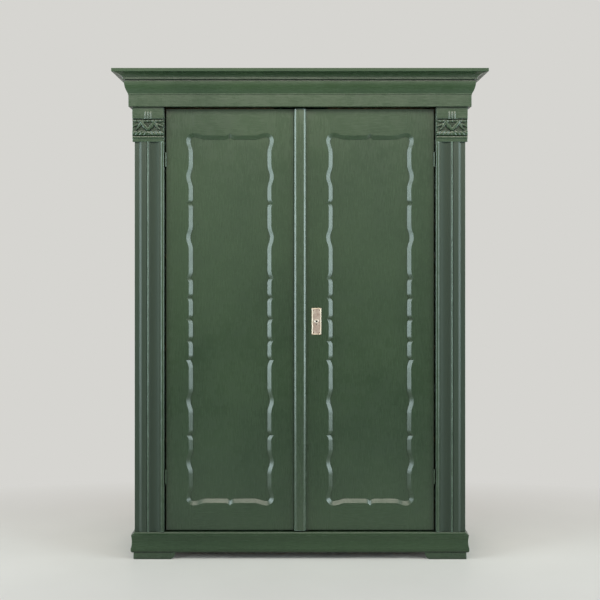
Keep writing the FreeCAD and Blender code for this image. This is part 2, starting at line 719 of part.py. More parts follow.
def make_cornice():
    reach = s.cap_out
    tall = s.frieze_tall - s.frieze_plain_tall
    z_low = z_frieze_low + s.frieze_plain_tall
    nodes.append(block("frieze_front", (-x_frieze, x_frieze), (y_frieze, y_face),
                       (z_frieze_low, z_cap_low)))
    front = cornice_section(lambda out: y_frieze - out, -1)
    nodes.append(mitred_front("cornice_front", x_frieze, y_frieze, reach, as_size(0), z_low, tall, front))
    returns = []
    for side in ("left", "right"):
        sign = 1 if side == "right" else -1
        returns.append(block(f"frieze_{side}", mirrored((half_carcass, x_frieze), side),
                             (y_face, y_back), (z_frieze_low, z_cap_low)))
        out_of = (lambda out: x_frieze + out) if sign > 0 else (lambda out: -(x_frieze + out))
        section = cornice_section(out_of, sign)
        nodes.append(mitred_side(f"cornice_{side}", side, x_frieze, y_frieze, reach, as_size(0),
                                 z_low, tall, section))
    nodes.append(group("frieze_sides", returns))
    nodes.append(block("frieze_back", (-half_carcass, half_carcass), (y_back - s.side_thick, y_back),
                       (z_carcass_top + s.board_thick, z_cap_low)))
    nodes.append(block("cap_board", (-(x_frieze + s.cap_out), x_frieze + s.cap_out),
                       (y_frieze - s.cap_out, y_back), (z_cap_low, z_cap_low + s.cap_thick)))


# ---------------------------------------------------------------------------------------------
# Hinges: lift-off pairs.  The lower half, with the pin riveted into it, stands on the post, and
# the upper half turns on the pin with the door.  Both leaves are let into the edges.

def hinge_heights():
    return {"upper": z_door_top - s.hinge_top_in, "lower": z_door_low + s.hinge_low_in}


def leaf_span(side, part):
    """x of a leaf in its bed on the post's or the door's edge."""
    if part == "post":
        return mirrored((half_opening, half_opening + s.leaf_thick), side)
    return mirrored((x_hinge_edge - s.leaf_thick, x_hinge_edge), side)


def leaf_z(middle, part):
    """The post carries the lower half of a hinge, the door its upper half."""
    gap = s.knuckle_washer / 2
    if part == "post":
        return (middle - s.hinge_tall / 2, middle - gap)
    return (middle + gap, middle + s.hinge_tall / 2)


def leaf_beds(side, part):
    y_leaf = (y_face - s.leaf_thick, y_face + s.leaf_deep)
    return [block(f"{side}_{part}_bed_{place}", leaf_span(side, part), y_leaf, leaf_z(middle, part))
            for place, middle in hinge_heights().items()]


def hinge_half(side, part, place, middle):
    sign = 1 if side == "right" else -1
    z_span = leaf_z(middle, part)
    y_leaf = (y_face - s.leaf_thick, y_face + s.leaf_deep)
    stem = f"{side}_{part}_{place}"
    x_axis = x_hinge_axis if sign > 0 else -x_hinge_axis
    knuckle = rod(stem + "_knuckle", s.knuckle_diameter, z_span[1] - z_span[0],
                  (x_axis, y_hinge_axis, z_span[0]))
    leaf = block(stem + "_leaf", leaf_span(side, part), y_leaf, z_span)
    if part == "post":
        pin = rod(stem + "_pin", s.pin_core, s.hinge_tall - s.pin_short, (x_axis, y_hinge_axis, z_span[0]))
        return fuse(stem + "_hinge", [knuckle, leaf, pin])
    drill = rod(stem + "_bore", s.pin_core + s.pin_fit * 2, z_span[1] - z_span[0],
                (x_axis, y_hinge_axis, z_span[0]))
    return cut(stem + "_hinge", fuse(stem + "_half", [knuckle, leaf]), [drill])


def make_hinges():
    frame_halves = []
    for side in ("left", "right"):
        door_halves = []
        for place, middle in hinge_heights().items():
            frame_halves.append(hinge_half(side, "post", place, middle))
            door_halves.append(hinge_half(side, "door", place, middle))
        nodes.append(group(f"{side}_door_hinge_halves", door_halves))
    nodes.append(group("post_hinge_halves", frame_halves))


# ---------------------------------------------------------------------------------------------
# Doors: mortised frames with a plain sunk panel.  One scalloped cutter shapes the inner edges
# of all four frame pieces, so the moulding runs on across their joints.

def scalloped_run(half_length, features, depth, inset):
    """Edges of half a side, from its middle to the start of the corner, as (along, out) triples.

    Each triple is the middle and the end of an arc, or only an end for a straight edge.
    """
    floor = -inset
    edges = []

    def wave(mark, reach, quarters):
        """A point of a soft wave, some quarters of its half length away from its crest."""
        share = quarters / 4
        return (mark + reach * share, floor + depth * (1 + math.cos(math.pi * share)) / 2)

    for kind, mark, near, far in features:
        if kind == "cusp":
            if mark > 0:
                edges.append(((mark - near, floor),))
                edges.append(flank(mark - near, mark, near, depth, floor))
            if far:
                edges.append(flank(mark + far, mark, far, depth, floor, rising=False))
        else:
            edges.append((wave(mark, -near, 4),))
            edges.append((wave(mark, -near, 3), wave(mark, -near, 2)))
            if far:
                edges.append((wave(mark, far, 0), wave(mark, far, 2)))
                edges.append((wave(mark, far, 3), wave(mark, far, 4)))
            else:
                edges.append((wave(mark, -near, 1), wave(mark, -near, 0)))
    edges.append(((half_length, floor + depth),))
    return edges


def flank(tangent_at, tip_at, length, depth, floor, rising=True):
    """One flank of a cusp: an arc that leaves the straight line smoothly and ends at the tip."""
    radius = (length ** 2 + depth ** 2) / (2 * depth)
    sweep = math.asin(length / radius)
    toward = 1 if tip_at > tangent_at else -1
    middle = (tangent_at + toward * radius * math.sin(sweep / 2),
              floor + radius * (1 - math.cos(sweep / 2)))
    end = (tip_at, floor + depth) if rising else (tangent_at, floor)
    return (middle, end)


def both_halves(run, start):
    """The mirror image of a run, walked towards the middle, and then the run itself."""
    points = [start] + [edge[-1] for edge in run]
    back = []
    for index in range(len(run) - 1, -1, -1):
        end = points[index]
        middle = run[index][0] if len(run[index]) == 2 else None
        step = ((-middle[0], middle[1]),) if middle else ()
        back.append(step + ((-end[0], end[1]),))
    return back + run


def side_features(half_length):
    """The carver's marks, stepped off from the middle and spread over the length of the side."""
    wave = s.wave_flank.number
    cusp, slow = s.cusp_flank.number, s.slow_flank.number
    walk = [
        ("cusp", s.step_second, cusp, cusp),
        ("cusp", s.step_third, cusp, slow),
        ("wave", s.step_wave, wave, wave),
        ("cusp", s.step_fourth, cusp, cusp),
        ("wave", s.step_last, wave, wave),
        ("wave", s.step_corner, wave, 0),
    ]
    stretch = half_length / sum(step.number for _, step, _, _ in walk)
    features, mark = [("cusp", 0, 0, cusp)], 0
    for kind, step, near, far in walk:
        mark += step.number * stretch
        features.append((kind, mark, near, far))
    return features


def opening_outline(side, inset, y):
    """The closed scalloped line round a door panel; inset moves it towards the panel."""
    depth = s.scallop_deep.number
    radius = s.corner_round.number
    u_low = s.moulding_hinge_in.number
    u_high = x_hinge_edge.number - s.moulding_middle_out.number
    z_low = z_door_low.number + s.moulding_low_in.number
    z_high = z_door_top.number - s.moulding_top_in.number
    u_mid, z_mid = (u_low + u_high) / 2, (z_low + z_high) / 2
    half_u, half_z = (u_high - u_low) / 2 - depth, (z_high - z_low) / 2 - depth
    long_half, short_half = half_z + depth - radius, half_u + depth - radius
    long_run = scalloped_run(long_half, side_features(long_half), depth, inset)
    short_run = scalloped_run(short_half, [("cusp", 0, 0, s.cusp_flank.number),
                                           ("wave", short_half, s.wave_flank.number, 0)], depth, inset)
    sides = [
        (long_run, long_half, lambda a, o: (u_mid + half_u + o, z_mid + a)),
        (short_run, short_half, lambda a, o: (u_mid - a, z_mid + half_z + o)),
        (long_run, long_half, lambda a, o: (u_mid - half_u - o, z_mid - a)),
        (short_run, short_half, lambda a, o: (u_mid + a, z_mid - half_z - o)),
    ]
    sign = 1 if side == "right" else -1

    def world(point):
        return Vector(sign * (x_hinge_edge.number - point[0]), y, point[1])

    edges = []
    pen = None
    first = None
    for run, half_length, place in sides:
        start = place(-half_length, depth - inset)
        if pen is not None:
            corner = corner_arc_middle(pen, start)
            edges.append(Part.Arc(world(pen), world(corner), world(start)).toShape())
        first = first or start
        pen = start
        for edge in both_halves(run, (0.0, depth - inset)):
            end = place(*edge[-1])
            if math.dist(end, pen) < SAME_POINT:
                continue
            if len(edge) == 2:
                edges.append(Part.Arc(world(pen), world(place(*edge[0])), world(end)).toShape())
            else:
                edges.append(Part.LineSegment(world(pen), world(end)).toShape())
            pen = end
    edges.append(Part.Arc(world(pen), world(corner_arc_middle(pen, first)), world(first)).toShape())
    return Part.Wire(edges)


def corner_arc_middle(start, end):
    """Middle of the quarter turn between two sides; sides are walked anticlockwise in (u, z)."""
    du, dz = end[0] - start[0], end[1] - start[1]
    bulge = (math.sqrt(2) - 1) / 2
    return ((start[0] + end[0]) / 2 + dz * bulge, (start[1] + end[1]) / 2 - du * bulge)


def opening_cutter(side):
    """The moulded opening as a solid: straight in front, bevelled, then straight to the panel."""
    y0 = y_face.number
    y1 = y0 + s.moulding_deep.number
    y2 = y0 + s.panel_sunk.number + s.panel_thick.number / 2
    inset = s.moulding_wide.number
    outer = opening_outline(side, 0, y0)
    inner = opening_outline(side, inset, y1)
    mouth = Part.Face(outer).extrude(Vector(0, -s.moulding_deep.number, 0))
    bevel = Part.makeLoft([outer, inner], True, True)
    well = Part.Face(inner).extrude(Vector(0, y2 - y1, 0))
    cutter = doc.addObject("Part::Feature", f"{side}_door_moulding_cutter")
    cutter.Label = f"{side}_door_moulding_cutter"
    cutter.Shape = mouth.fuse([bevel, well])
    return cutter


def make_door(side):
    edge_u = lambda u: x_hinge_edge - u
    y_door = (y_face, y_door_back)
    y_panel = (y_face + s.panel_sunk, y_face + s.panel_sunk + s.panel_thick)
    shaped = s.scallop_deep + s.moulding_wide + s.frame_lip
    hinge_wide = s.moulding_hinge_in + shaped
    top_tall = s.moulding_top_in + shaped
    low_tall = s.moulding_low_in + shaped
    x_in_hinge = x_hinge_edge - hinge_wide
    x_in_meeting = s.moulding_middle_out + shaped
    x_edge = x_right_edge if side == "right" else -x_left_edge
    z_in_low = z_door_low + low_tall
    z_in_top = z_door_top - top_tall
    groove_x = mirrored((x_in_meeting - s.groove_deep, x_in_hinge + s.groove_deep), side)
    groove_z = (z_in_low - s.groove_deep, z_in_top + s.groove_deep)
    slack = s.panel_slack
    groove = block(f"{side}_door_groove", groove_x, y_panel, groove_z)
    panel_x = mirrored((x_in_meeting - s.groove_deep + slack, x_in_hinge + s.groove_deep - slack), side)
    cutter = opening_cutter(side)

    tenons = {}
    for place, z_span in (("top", (z_in_top + s.tenon_haunch, z_door_top - s.tenon_shoulder)),
                          ("low", (z_door_low + s.tenon_shoulder, z_in_low - s.tenon_haunch))):
        x_span = mirrored((x_in_meeting - s.tenon_long, x_in_hinge + s.tenon_long), side)
        tenons[place] = (x_span, y_panel, z_span)

    stiles = (("hinge_stile", (x_in_hinge, x_hinge_edge), leaf_beds(side, "door")),
              ("meeting_stile", (x_edge, x_in_meeting), meeting_stile_cuts(side)))
    for kind, x_span, extra in stiles:
        name = f"{side}_{kind}"
        blank = block(name + "_blank", mirrored(x_span, side), y_door, (z_door_low, z_door_top))
        mortises = [block(f"{name}_mortise_{place}", *spans) for place, spans in tenons.items()]
        nodes.append(cut(name, blank, [cutter, groove] + mortises + extra))
    for place, z_span in (("top", (z_in_top, z_door_top)), ("low", (z_door_low, z_in_low))):
        name = f"{side}_{'top' if place == 'top' else 'bottom'}_rail"
        bar = block(name + "_blank", mirrored((x_in_meeting, x_in_hinge), side), y_door, z_span)
        shaped_bar = cut(name + "_shaped", bar, [cutter, groove])
        tenon = block(name + "_tenons", *tenons[place])
        nodes.append(fuse(name, [shaped_bar, tenon]))
    nodes.append(block(f"{side}_panel", panel_x, y_panel,
                       (z_in_low - s.groove_deep + slack, z_in_top + s.groove_deep - slack)))


def lock_bolt_middle():
    """The bolt slides above the keyhole."""
    return s.lock_high + s.bolt_tall


def wear_plate_spans():
    """The plate that the lock bolt rubs on, let in flush with the back of the left door."""
    z_mid = lock_bolt_middle()
    return ((x_left_edge - s.keeper_wide, x_left_edge),
            (y_door_back - s.keeper_thick, y_door_back),
            (z_mid - s.keeper_tall / 2, z_mid + s.keeper_tall / 2))


def keyhole(name, y_low, deep):
    """A keyhole right through: a round bore with a slot below it."""
    half_slot = s.key_slot_wide / 2
    bore = rod(name + "_bore", s.key_bore, deep, (s.keyhole_out, y_low, s.lock_high), Vector(0, 1, 0))
    slot = block(name + "_slot", (s.keyhole_out - half_slot, s.keyhole_out + half_slot),
                 (y_low, y_low + deep), (s.lock_high - s.key_slot_long, s.lock_high))
    return fuse(name, [bore, slot])


def meeting_stile_cuts(side):
    if side == "left":
        y_point = y_door_back - s.screw_deep
        screw_hole = button_rod("button_screw_hole", s.screw_diameter, y_point, s.screw_deep)
        return [block("wear_plate_bed", *wear_plate_spans()), screw_hole]
    return [keyhole("stile_keyhole", y_face, s.door_thick)]


# ---------------------------------------------------------------------------------------------
# Meeting strip along the edge of the right door, with rounded bevels.  The doors meet beside it,
# not behind it, so that either door opens by itself.

def make_meeting_strip():
    half = s.strip_wide / 2
    crown = half - s.strip_bevel_wide
    y_edge = y_face - s.strip_edge_thick
    y_crown = y_face - s.strip_thick
    corners = [
        (half, y_face),
        (-half, y_face),
        (-half, y_edge, s.strip_bevel_curve, 1),
        (-crown, y_crown),
        (crown, y_crown, s.strip_bevel_curve, 1),
        (half, y_edge),
    ]
    nodes.append(padded("meeting_strip", "XY_Plane", corners, s.door_tall, (0, 0, z_door_low)))


# ---------------------------------------------------------------------------------------------
# Key plate, lock case, lock bolt and wear plate.

def make_lock():
    half_wide, half_tall = s.escutcheon_wide / 2, s.escutcheon_tall / 2
    r = s.escutcheon_round
    x0, x1 = s.keyhole_out - half_wide, s.keyhole_out + half_wide
    z0, z1 = s.lock_high - half_tall, s.lock_high + half_tall
    corners = [(x0 + r, z0), (x1 - r, z0, r, 1), (x1, z0 + r), (x1, z1 - r, r, 1), (x1 - r, z1),
               (x0 + r, z1, r, 1), (x0, z1 - r), (x0, z0 + r, r, 1)]
    plate = padded("key_plate_blank", "XZ_Plane", corners, s.escutcheon_thick, (0, y_face, 0))
    y_plate = y_face - s.escutcheon_thick
    nodes.append(cut("key_plate", plate, [keyhole("plate_keyhole", y_plate, s.escutcheon_thick)]))

    x_case = (x_right_edge + s.lock_edge_in, x_right_edge + s.lock_edge_in + s.lock_wide)
    z_case = (s.lock_high - s.lock_tall / 2, s.lock_high + s.lock_tall / 2)
    y_case = (y_door_back, y_door_back + s.lock_thick)
    case = block("lock_case_blank", x_case, y_case, z_case)
    bolt_y = (y_door_back + s.bolt_face_gap, y_door_back + s.bolt_face_gap + s.bolt_thick)
    bolt_z = (lock_bolt_middle() - s.bolt_tall / 2, lock_bolt_middle() + s.bolt_tall / 2)
    bolt_x = (x_case[0] - s.bolt_nose, x_case[0] - s.bolt_nose + s.bolt_long)
    clear = s.slide_clear
    channel = block("lock_channel", (x_case[0], bolt_x[1] + clear),
                    (bolt_y[0] - clear, bolt_y[1] + clear), (bolt_z[0] - clear, bolt_z[1] + clear))
    nodes.append(cut("lock_case", case, [channel, keyhole("case_keyhole", y_door_back, s.lock_thick)]))
    nodes.append(block("lock_bolt", bolt_x, bolt_y, bolt_z))
    nodes.append(block("lock_wear_plate", *wear_plate_spans()))


# ---------------------------------------------------------------------------------------------
# Fastenings inside the left door: at the top a bolt that shoots up behind the head rail, at the
# foot a wooden button that turns down behind the bottom rail.

def latch_middle():
    return x_left_edge - s.latch_edge_in


def make_door_bolt():
    x_mid = latch_middle()
    half_plate, half_bar = s.latch_plate_wide / 2, s.latch_bar_wide / 2
    y_plate = y_door_back + s.latch_plate_thick
    y_bar = (y_plate + s.slide_clear, y_plate + s.slide_clear + s.latch_bar_thick)
    z_plate_top = z_door_top - s.latch_end_in
    z_plate_low = z_plate_top - s.latch_plate_tall
    z_straps = (z_plate_top - s.latch_strap_in - s.latch_strap_tall, z_plate_low + s.latch_strap_in)
    room_x = (x_mid - half_bar - s.slide_clear, x_mid + half_bar + s.slide_clear)
    strap_x = (room_x[0] - s.latch_strap_thick, room_x[1] + s.latch_strap_thick)
    strap_y = (y_plate, y_bar[1] + s.slide_clear + s.latch_strap_thick)
    parts = [block("top_bolt_base", (x_mid - half_plate, x_mid + half_plate), (y_door_back, y_plate),
                   (z_plate_low, z_plate_top))]
    for count, z_strap in enumerate(z_straps):
        parts.append(block(f"top_bolt_strap_{count}", strap_x, strap_y,
                           (z_strap, z_strap + s.latch_strap_tall)))
    room = block("top_bolt_room", room_x, (y_plate, y_bar[1] + s.slide_clear), (z_plate_low, z_door_top))
    nodes.append(cut("top_bolt_plate", fuse("top_bolt_plate_blank", parts), [room]))

    z_bar_top = z_door_top - s.latch_bar_in
    bar = block("top_bolt_bar_blank", (x_mid - half_bar, x_mid + half_bar), y_bar,
                (z_bar_top - s.latch_bar_long, z_bar_top))
    knob = rod("top_bolt_knob", s.latch_knob_diameter, s.latch_knob_long,
               (x_mid, y_bar[1], (z_plate_low + z_plate_top) / 2), Vector(0, 1, 0))
    nodes.append(fuse("top_bolt_bar", [bar, knob]))
    nodes.append(block("bolt_keeper",
                       (x_mid - s.latch_keeper_wide / 2, x_mid + s.latch_keeper_wide / 2),
                       (y_post_back, y_post_back + s.latch_keeper_thick),
                       (z_frieze_low, z_frieze_low + s.latch_keeper_tall)))


def button_rod(name, diameter, y_low, deep):
    """A round piece or hole on the axis of the turn button."""
    return rod(name, diameter, deep, (latch_middle(), y_low, z_door_low + s.button_high), Vector(0, 1, 0))


def make_turn_button():
    x_mid, z_mid = latch_middle(), z_door_low + s.button_high
    y_button = y_door_back + s.button_gap
    blank = block("turn_button_blank", (x_mid - s.button_long / 2, x_mid + s.button_long / 2),
                  (y_button, y_button + s.button_thick),
                  (z_mid - s.button_wide / 2, z_mid + s.button_wide / 2))
    bore = button_rod("turn_button_bore", s.screw_diameter + s.screw_fit * 2, y_button, s.button_thick)
    nodes.append(cut("turn_button", blank, [bore]))
    y_head = y_button + s.button_thick + s.button_play
    y_point = y_door_back - s.screw_deep
    nodes.append(fuse("turn_button_screw", [
        button_rod("turn_button_shank", s.screw_diameter, y_point, y_head - y_point),
        button_rod("turn_button_head", s.screw_head_diameter, y_head, s.screw_head_tall)]))


# ---------------------------------------------------------------------------------------------
# Inside: toothed racks, bearers that hook into their teeth, and loose shelves.

def rack_rows():
    return {"front": (y_face + s.rack_front_in, y_face + s.rack_front_in + s.rack_deep),
            "back": (y_back_boards - s.rack_back_in - s.rack_deep, y_back_boards - s.rack_back_in)}


def tooth_count():
    room = z_carcass_top - z_bottom_board_top - s.tooth_first - s.tooth_end
    return int(room.number // s.tooth_pitch.number)


def tooth_z(count):
    return z_bottom_board_top + s.tooth_first + s.tooth_pitch * count


def make_rack(row, side):
    """One rack: a plain lath with a row of saw teeth cut in the edge that faces its partner."""
    y_low, y_high = rack_rows()[row]
    toothed, inward = (y_high, -1) if row == "front" else (y_low, 1)
    root = toothed + s.tooth_deep * inward
    z_seat = tooth_z(0)
    name = f"rack_{row}_{side}"
    x_low = x_side_inner - s.rack_wide if side == "right" else -x_side_inner
    lath = [(y_low, z_bottom_board_top), (y_high, z_bottom_board_top),
            (y_high, z_carcass_top), (y_low, z_carcass_top)]
    body = padded(name, "YZ_Plane", lath, s.rack_wide, (x_low, 0, 0))
    notch = body.newObject("Sketcher::SketchObject", name + "_tooth_outline")
    notch.AttachmentSupport = [(origin_plane(body, "YZ_Plane"), "")]
    notch.MapMode = "FlatFace"
    draw_outline(notch, [(toothed, z_seat), (toothed, z_seat + s.tooth_pitch - s.tooth_tip),
                         (root, z_seat + s.bearer_tall + s.bearer_slack), (root, z_seat)])
    tooth = body.newObject("PartDesign::Pocket", name + "_tooth")
    tooth.Profile = notch
    tooth.Reversed = True
    bind(tooth, Length=s.rack_wide)
    teeth = body.newObject("PartDesign::LinearPattern", name + "_teeth")
    teeth.Originals = [tooth]
    teeth.Direction = (notch, ["V_Axis"])
    teeth.Occurrences = tooth_count()
    bind(teeth, Length=s.tooth_pitch * (tooth_count() - 1))
    body.Tip = teeth
    return body


def make_racks():
    racks = [make_rack(row, side) for row in ("front", "back") for side in ("left", "right")]
    nodes.append(group("shelf_racks", racks))


def make_shelves():
    rows = rack_rows()
    y_bearer = (rows["front"][1] - s.tooth_deep + s.bearer_slack,
                rows["back"][0] + s.tooth_deep - s.bearer_slack)
    bearers, shelves = [], []
    for number, tooth in enumerate(SHELF_TEETH, start=1):
        z_seat = tooth_z(tooth)
        z_top = z_seat + s.bearer_tall
        for side in ("left", "right"):
            x_span = mirrored((x_side_inner - s.bearer_wide, x_side_inner), side)
            bearers.append(block(f"bearer_{number}_{side}", x_span, y_bearer, (z_seat, z_top)))
        half = x_side_inner - s.rack_wide - s.shelf_slack
        shelves.append(block(f"shelf_{number}", (-half, half),
                             (y_face + s.shelf_front_in, y_back_boards - s.shelf_back_gap),
                             (z_top, z_top + s.shelf_thick)))
    nodes.append(group("shelf_bearers", bearers))
    nodes.append(group("shelves", shelves))


def check_document():
    """Stops with a plain message if anything in the document failed."""
    for item in doc.Objects:
        if "Invalid" in item.State or "Error" in item.State:
            raise RuntimeError(f"{item.Label} failed: {item.State}")
    for node in nodes:
        if node.Shape.isNull() or not node.Shape.isValid() or not node.Shape.Solids:
            raise RuntimeError(f"{node.Label} has no valid solid")


def write_nodes():
    os.makedirs("parts", exist_ok=True)
    for node in nodes:
        node.Shape.exportStep(f"parts/{node.Label}.step")


make_feet()
make_plinth()
make_front_frame()
make_sides()
make_boards()
make_pilasters()
make_capitals()
make_cornice()
make_hinges()
make_door("left")
make_door("right")
make_meeting_strip()
make_lock()
make_door_bolt()
make_turn_button()
make_racks()
make_shelves()
doc.recompute()
check_document()
write_nodes()
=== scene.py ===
"""A green painted linen cupboard with two scalloped doors, pilasters and a deep cornice."""
import math
from functools import cache
import bmesh
import bpy
import numpy as np
from mathutils import Matrix, Vector


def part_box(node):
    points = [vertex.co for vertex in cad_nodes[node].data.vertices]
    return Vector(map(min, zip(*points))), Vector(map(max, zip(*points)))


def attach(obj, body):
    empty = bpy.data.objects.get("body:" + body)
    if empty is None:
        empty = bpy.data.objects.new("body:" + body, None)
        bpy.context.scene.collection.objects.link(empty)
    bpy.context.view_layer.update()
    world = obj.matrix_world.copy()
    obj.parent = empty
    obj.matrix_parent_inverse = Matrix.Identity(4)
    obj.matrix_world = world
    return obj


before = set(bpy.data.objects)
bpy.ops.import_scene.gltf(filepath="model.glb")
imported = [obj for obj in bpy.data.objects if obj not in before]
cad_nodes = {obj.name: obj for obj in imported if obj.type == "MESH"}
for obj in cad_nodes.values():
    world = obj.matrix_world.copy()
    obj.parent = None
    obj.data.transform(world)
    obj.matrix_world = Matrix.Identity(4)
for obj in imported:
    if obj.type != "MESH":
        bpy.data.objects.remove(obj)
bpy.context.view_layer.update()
scene = bpy.context.scene

# ---------------------------------------------------------------------------------------------
# The room: a plain pale floor under large soft lamps, one above the front, two at each side and
# one behind the cupboard.  The camera stands level, about four metres before the doors and as
# high as a tall man's chest.

SENSOR_MM, LENS_PIXELS, FRAME_PIXELS, HORIZON_PIXEL = 36.0, 1036.0, 600.0, 247.0
CAMERA_AWAY, CAMERA_HIGH = 4.205, 1.2
HANDS = {"left": -1, "right": 1}

camera_data = bpy.data.cameras.new("room_camera")
camera_data.sensor_width = SENSOR_MM
camera_data.lens = LENS_PIXELS / FRAME_PIXELS * SENSOR_MM
camera_data.shift_y = (HORIZON_PIXEL - FRAME_PIXELS / 2) / FRAME_PIXELS
camera = bpy.data.objects.new("room_camera", camera_data)
scene.collection.objects.link(camera)
camera.location = (0.0, -CAMERA_AWAY, CAMERA_HIGH)
camera.rotation_euler = (math.pi / 2, 0.0, 0.0)
scene.camera = camera
scene.view_settings.view_transform = "Standard"


def shade(red, green, blue):
    """A colour that is given as it looks on a screen, from 0 to 255."""
    def linear(value):
        value /= 255.0
        return value / 12.92 if value <= 0.04045 else ((value + 0.055) / 1.055) ** 2.4
    return (linear(red), linear(green), linear(blue), 1.0)


class Finish:
    """A material while it is being made, with short ways to add its nodes and join them."""

    def __init__(self, name):
        self.material = bpy.data.materials.new(name)
        self.material.use_nodes = True
        self.tree = self.material.node_tree
        self.shader = self.tree.nodes["Principled BSDF"]

    def add(self, kind, feeds=None, **settings):
        """A node of one kind, with its settings made and its sockets fed."""
        node = self.tree.nodes.new("ShaderNode" + kind)
        for setting, value in settings.items():
            setattr(node, setting, value)
        for socket, value in (feeds or {}).items():
            self.feed(node.inputs[socket], value)
        return node

    def feed(self, socket, value):
        """Joins a socket to what feeds it, or sets it to a plain value."""
        if isinstance(value, bpy.types.NodeSocket):
            self.tree.links.new(value, socket)
        else:
            socket.default_value = value

    def places(self, stretch=(1.0, 1.0, 1.0)):
        """Places on the piece in metres, squeezed along its grain."""
        found = self.add("TexCoord").outputs["Object"]
        return self.add("Mapping", {"Vector": found, "Scale": stretch}).outputs["Vector"]

    def clouds(self, size, detail=3.0, roughness=0.5, stretch=(1.0, 1.0, 1.0), twist=0.0):
        """Soft noise whose spots are about this size, in metres."""
        return self.add("TexNoise", {"Vector": self.places(stretch), "Scale": 1.0 / size,
                                     "Detail": detail, "Roughness": roughness,
                                     "Distortion": twist}).outputs["Fac"]

    def span(self, value, low, high, to_low=0.0, to_high=1.0):
        """Spreads a band of values over another band, and holds what lies outside it."""
        return self.add("MapRange", {"Value": value, "From Min": low, "From Max": high,
                                     "To Min": to_low, "To Max": to_high}).outputs["Result"]

    def sums(self, operation, first, second=0.0):
        """One step of arithmetic."""
        return self.add("Math", {0: first, 1: second}, operation=operation).outputs[0]

    def blend(self, share, first, second):
        """The first colour, with a share of the second one laid over it."""
        node = self.add("Mix", data_type="RGBA", blend_type="MIX")
        for socket, value in ((0, share), (6, first), (7, second)):
            self.feed(node.inputs[socket], value)
        return node.outputs[2]


ROOM_COLOUR = shade(214, 213, 209)
FLOOR_HALF_WIDE, FLOOR_SQUARES = 14.0, 24
FLOOR_MARK_SIZE = 0.6
FLOOR_LOW, FLOOR_HIGH = shade(211, 202, 196), shade(217, 208, 202)
FADE_NEAR, FADE_FAR = 0.5, 2.8
FADE_SQUEEZE = (1.0, 2.4, 1.0)


def make_floor():
    """A wide slab of plain pale floor, faintly trowelled, that fades into the room far away."""
    grid = bmesh.new()
    bmesh.ops.create_grid(grid, x_segments=FLOOR_SQUARES, y_segments=FLOOR_SQUARES,
                          size=FLOOR_HALF_WIDE)
    mesh = bpy.data.meshes.new("room_floor")
    grid.to_mesh(mesh)
    grid.free()
    floor = bpy.data.objects.new("room_floor", mesh)
    scene.collection.objects.link(floor)
    pale = Finish("pale_floor")
    marks = pale.clouds(FLOOR_MARK_SIZE, detail=5.0)
    pale.feed(pale.shader.inputs["Base Color"],
              pale.blend(pale.span(marks, 0.35, 0.65), FLOOR_LOW, FLOOR_HIGH))
    pale.shader.inputs["Roughness"].default_value = 0.7
    pale.shader.inputs["Specular IOR Level"].default_value = 0.2
    away = pale.add("VectorMath", {0: pale.places(FADE_SQUEEZE)}, operation="LENGTH").outputs["Value"]
    looked_at = pale.add("LightPath").outputs["Is Camera Ray"]
    share = pale.sums("MULTIPLY", looked_at, pale.span(away, FADE_NEAR, FADE_FAR))
    glow = pale.add("Emission", {"Color": ROOM_COLOUR, "Strength": 1.0}).outputs["Emission"]
    fade = pale.add("MixShader", {0: share, 1: pale.shader.outputs["BSDF"], 2: glow})
    pale.feed(pale.tree.nodes["Material Output"].inputs["Surface"], fade.outputs["Shader"])
    mesh.materials.append(pale.material)


make_floor()


def hang_lamp(name, place, towards, width, height, watts, colour, spread=180.0):
    """A flat soft lamp that faces a point, with a shade that keeps its light within an angle."""
    lamp_data = bpy.data.lights.new(name, "AREA")
    lamp_data.shape = "RECTANGLE"
    lamp_data.size, lamp_data.size_y = width, height
    lamp_data.energy = watts
    lamp_data.color = colour
    lamp_data.spread = math.radians(spread)
    lamp = bpy.data.objects.new(name, lamp_data)
    scene.collection.objects.link(lamp)
    lamp.visible_camera = False
    lamp.location = place
    lamp.rotation_euler = (Vector(towards) - Vector(place)).to_track_quat("-Z", "Y").to_euler()
    return lamp


SIDE_LIGHT, OVERHEAD_LIGHT, REAR_LIGHT = (0.78, 0.96, 1.0), (1.0, 0.95, 0.84), (1.0, 0.98, 0.94)
hang_lamp("overhead_lamp", place=(0.0, -2.1, 2.9), towards=(0.0, 0.0, 2.3), width=3.0, height=0.9,
          watts=43.0, colour=OVERHEAD_LIGHT, spread=124.0)
for side, hand in HANDS.items():
    hang_lamp(f"{side}_lamp", place=(hand * 3.0, -2.1, 1.6), towards=(0.0, -0.2, 1.6), width=1.4,
              height=3.3, watts=104.0, colour=SIDE_LIGHT)
    hang_lamp(f"{side}_lamp_strip", place=(hand * 2.9, -0.72, 1.6), towards=(0.0, -0.2, 1.6),
              width=0.5, height=2.9, watts=44.0, colour=SIDE_LIGHT)
rear_lamp = hang_lamp("rear_lamp", place=(0.0, 3.4, 2.0), towards=(0.0, 0.3, 1.4), width=3.0,
                      height=1.6, watts=34.0, colour=REAR_LIGHT, spread=110.0)
rear_lamp.visible_glossy = False

AS_LIGHT, AS_SEEN = 0.04, 1.0


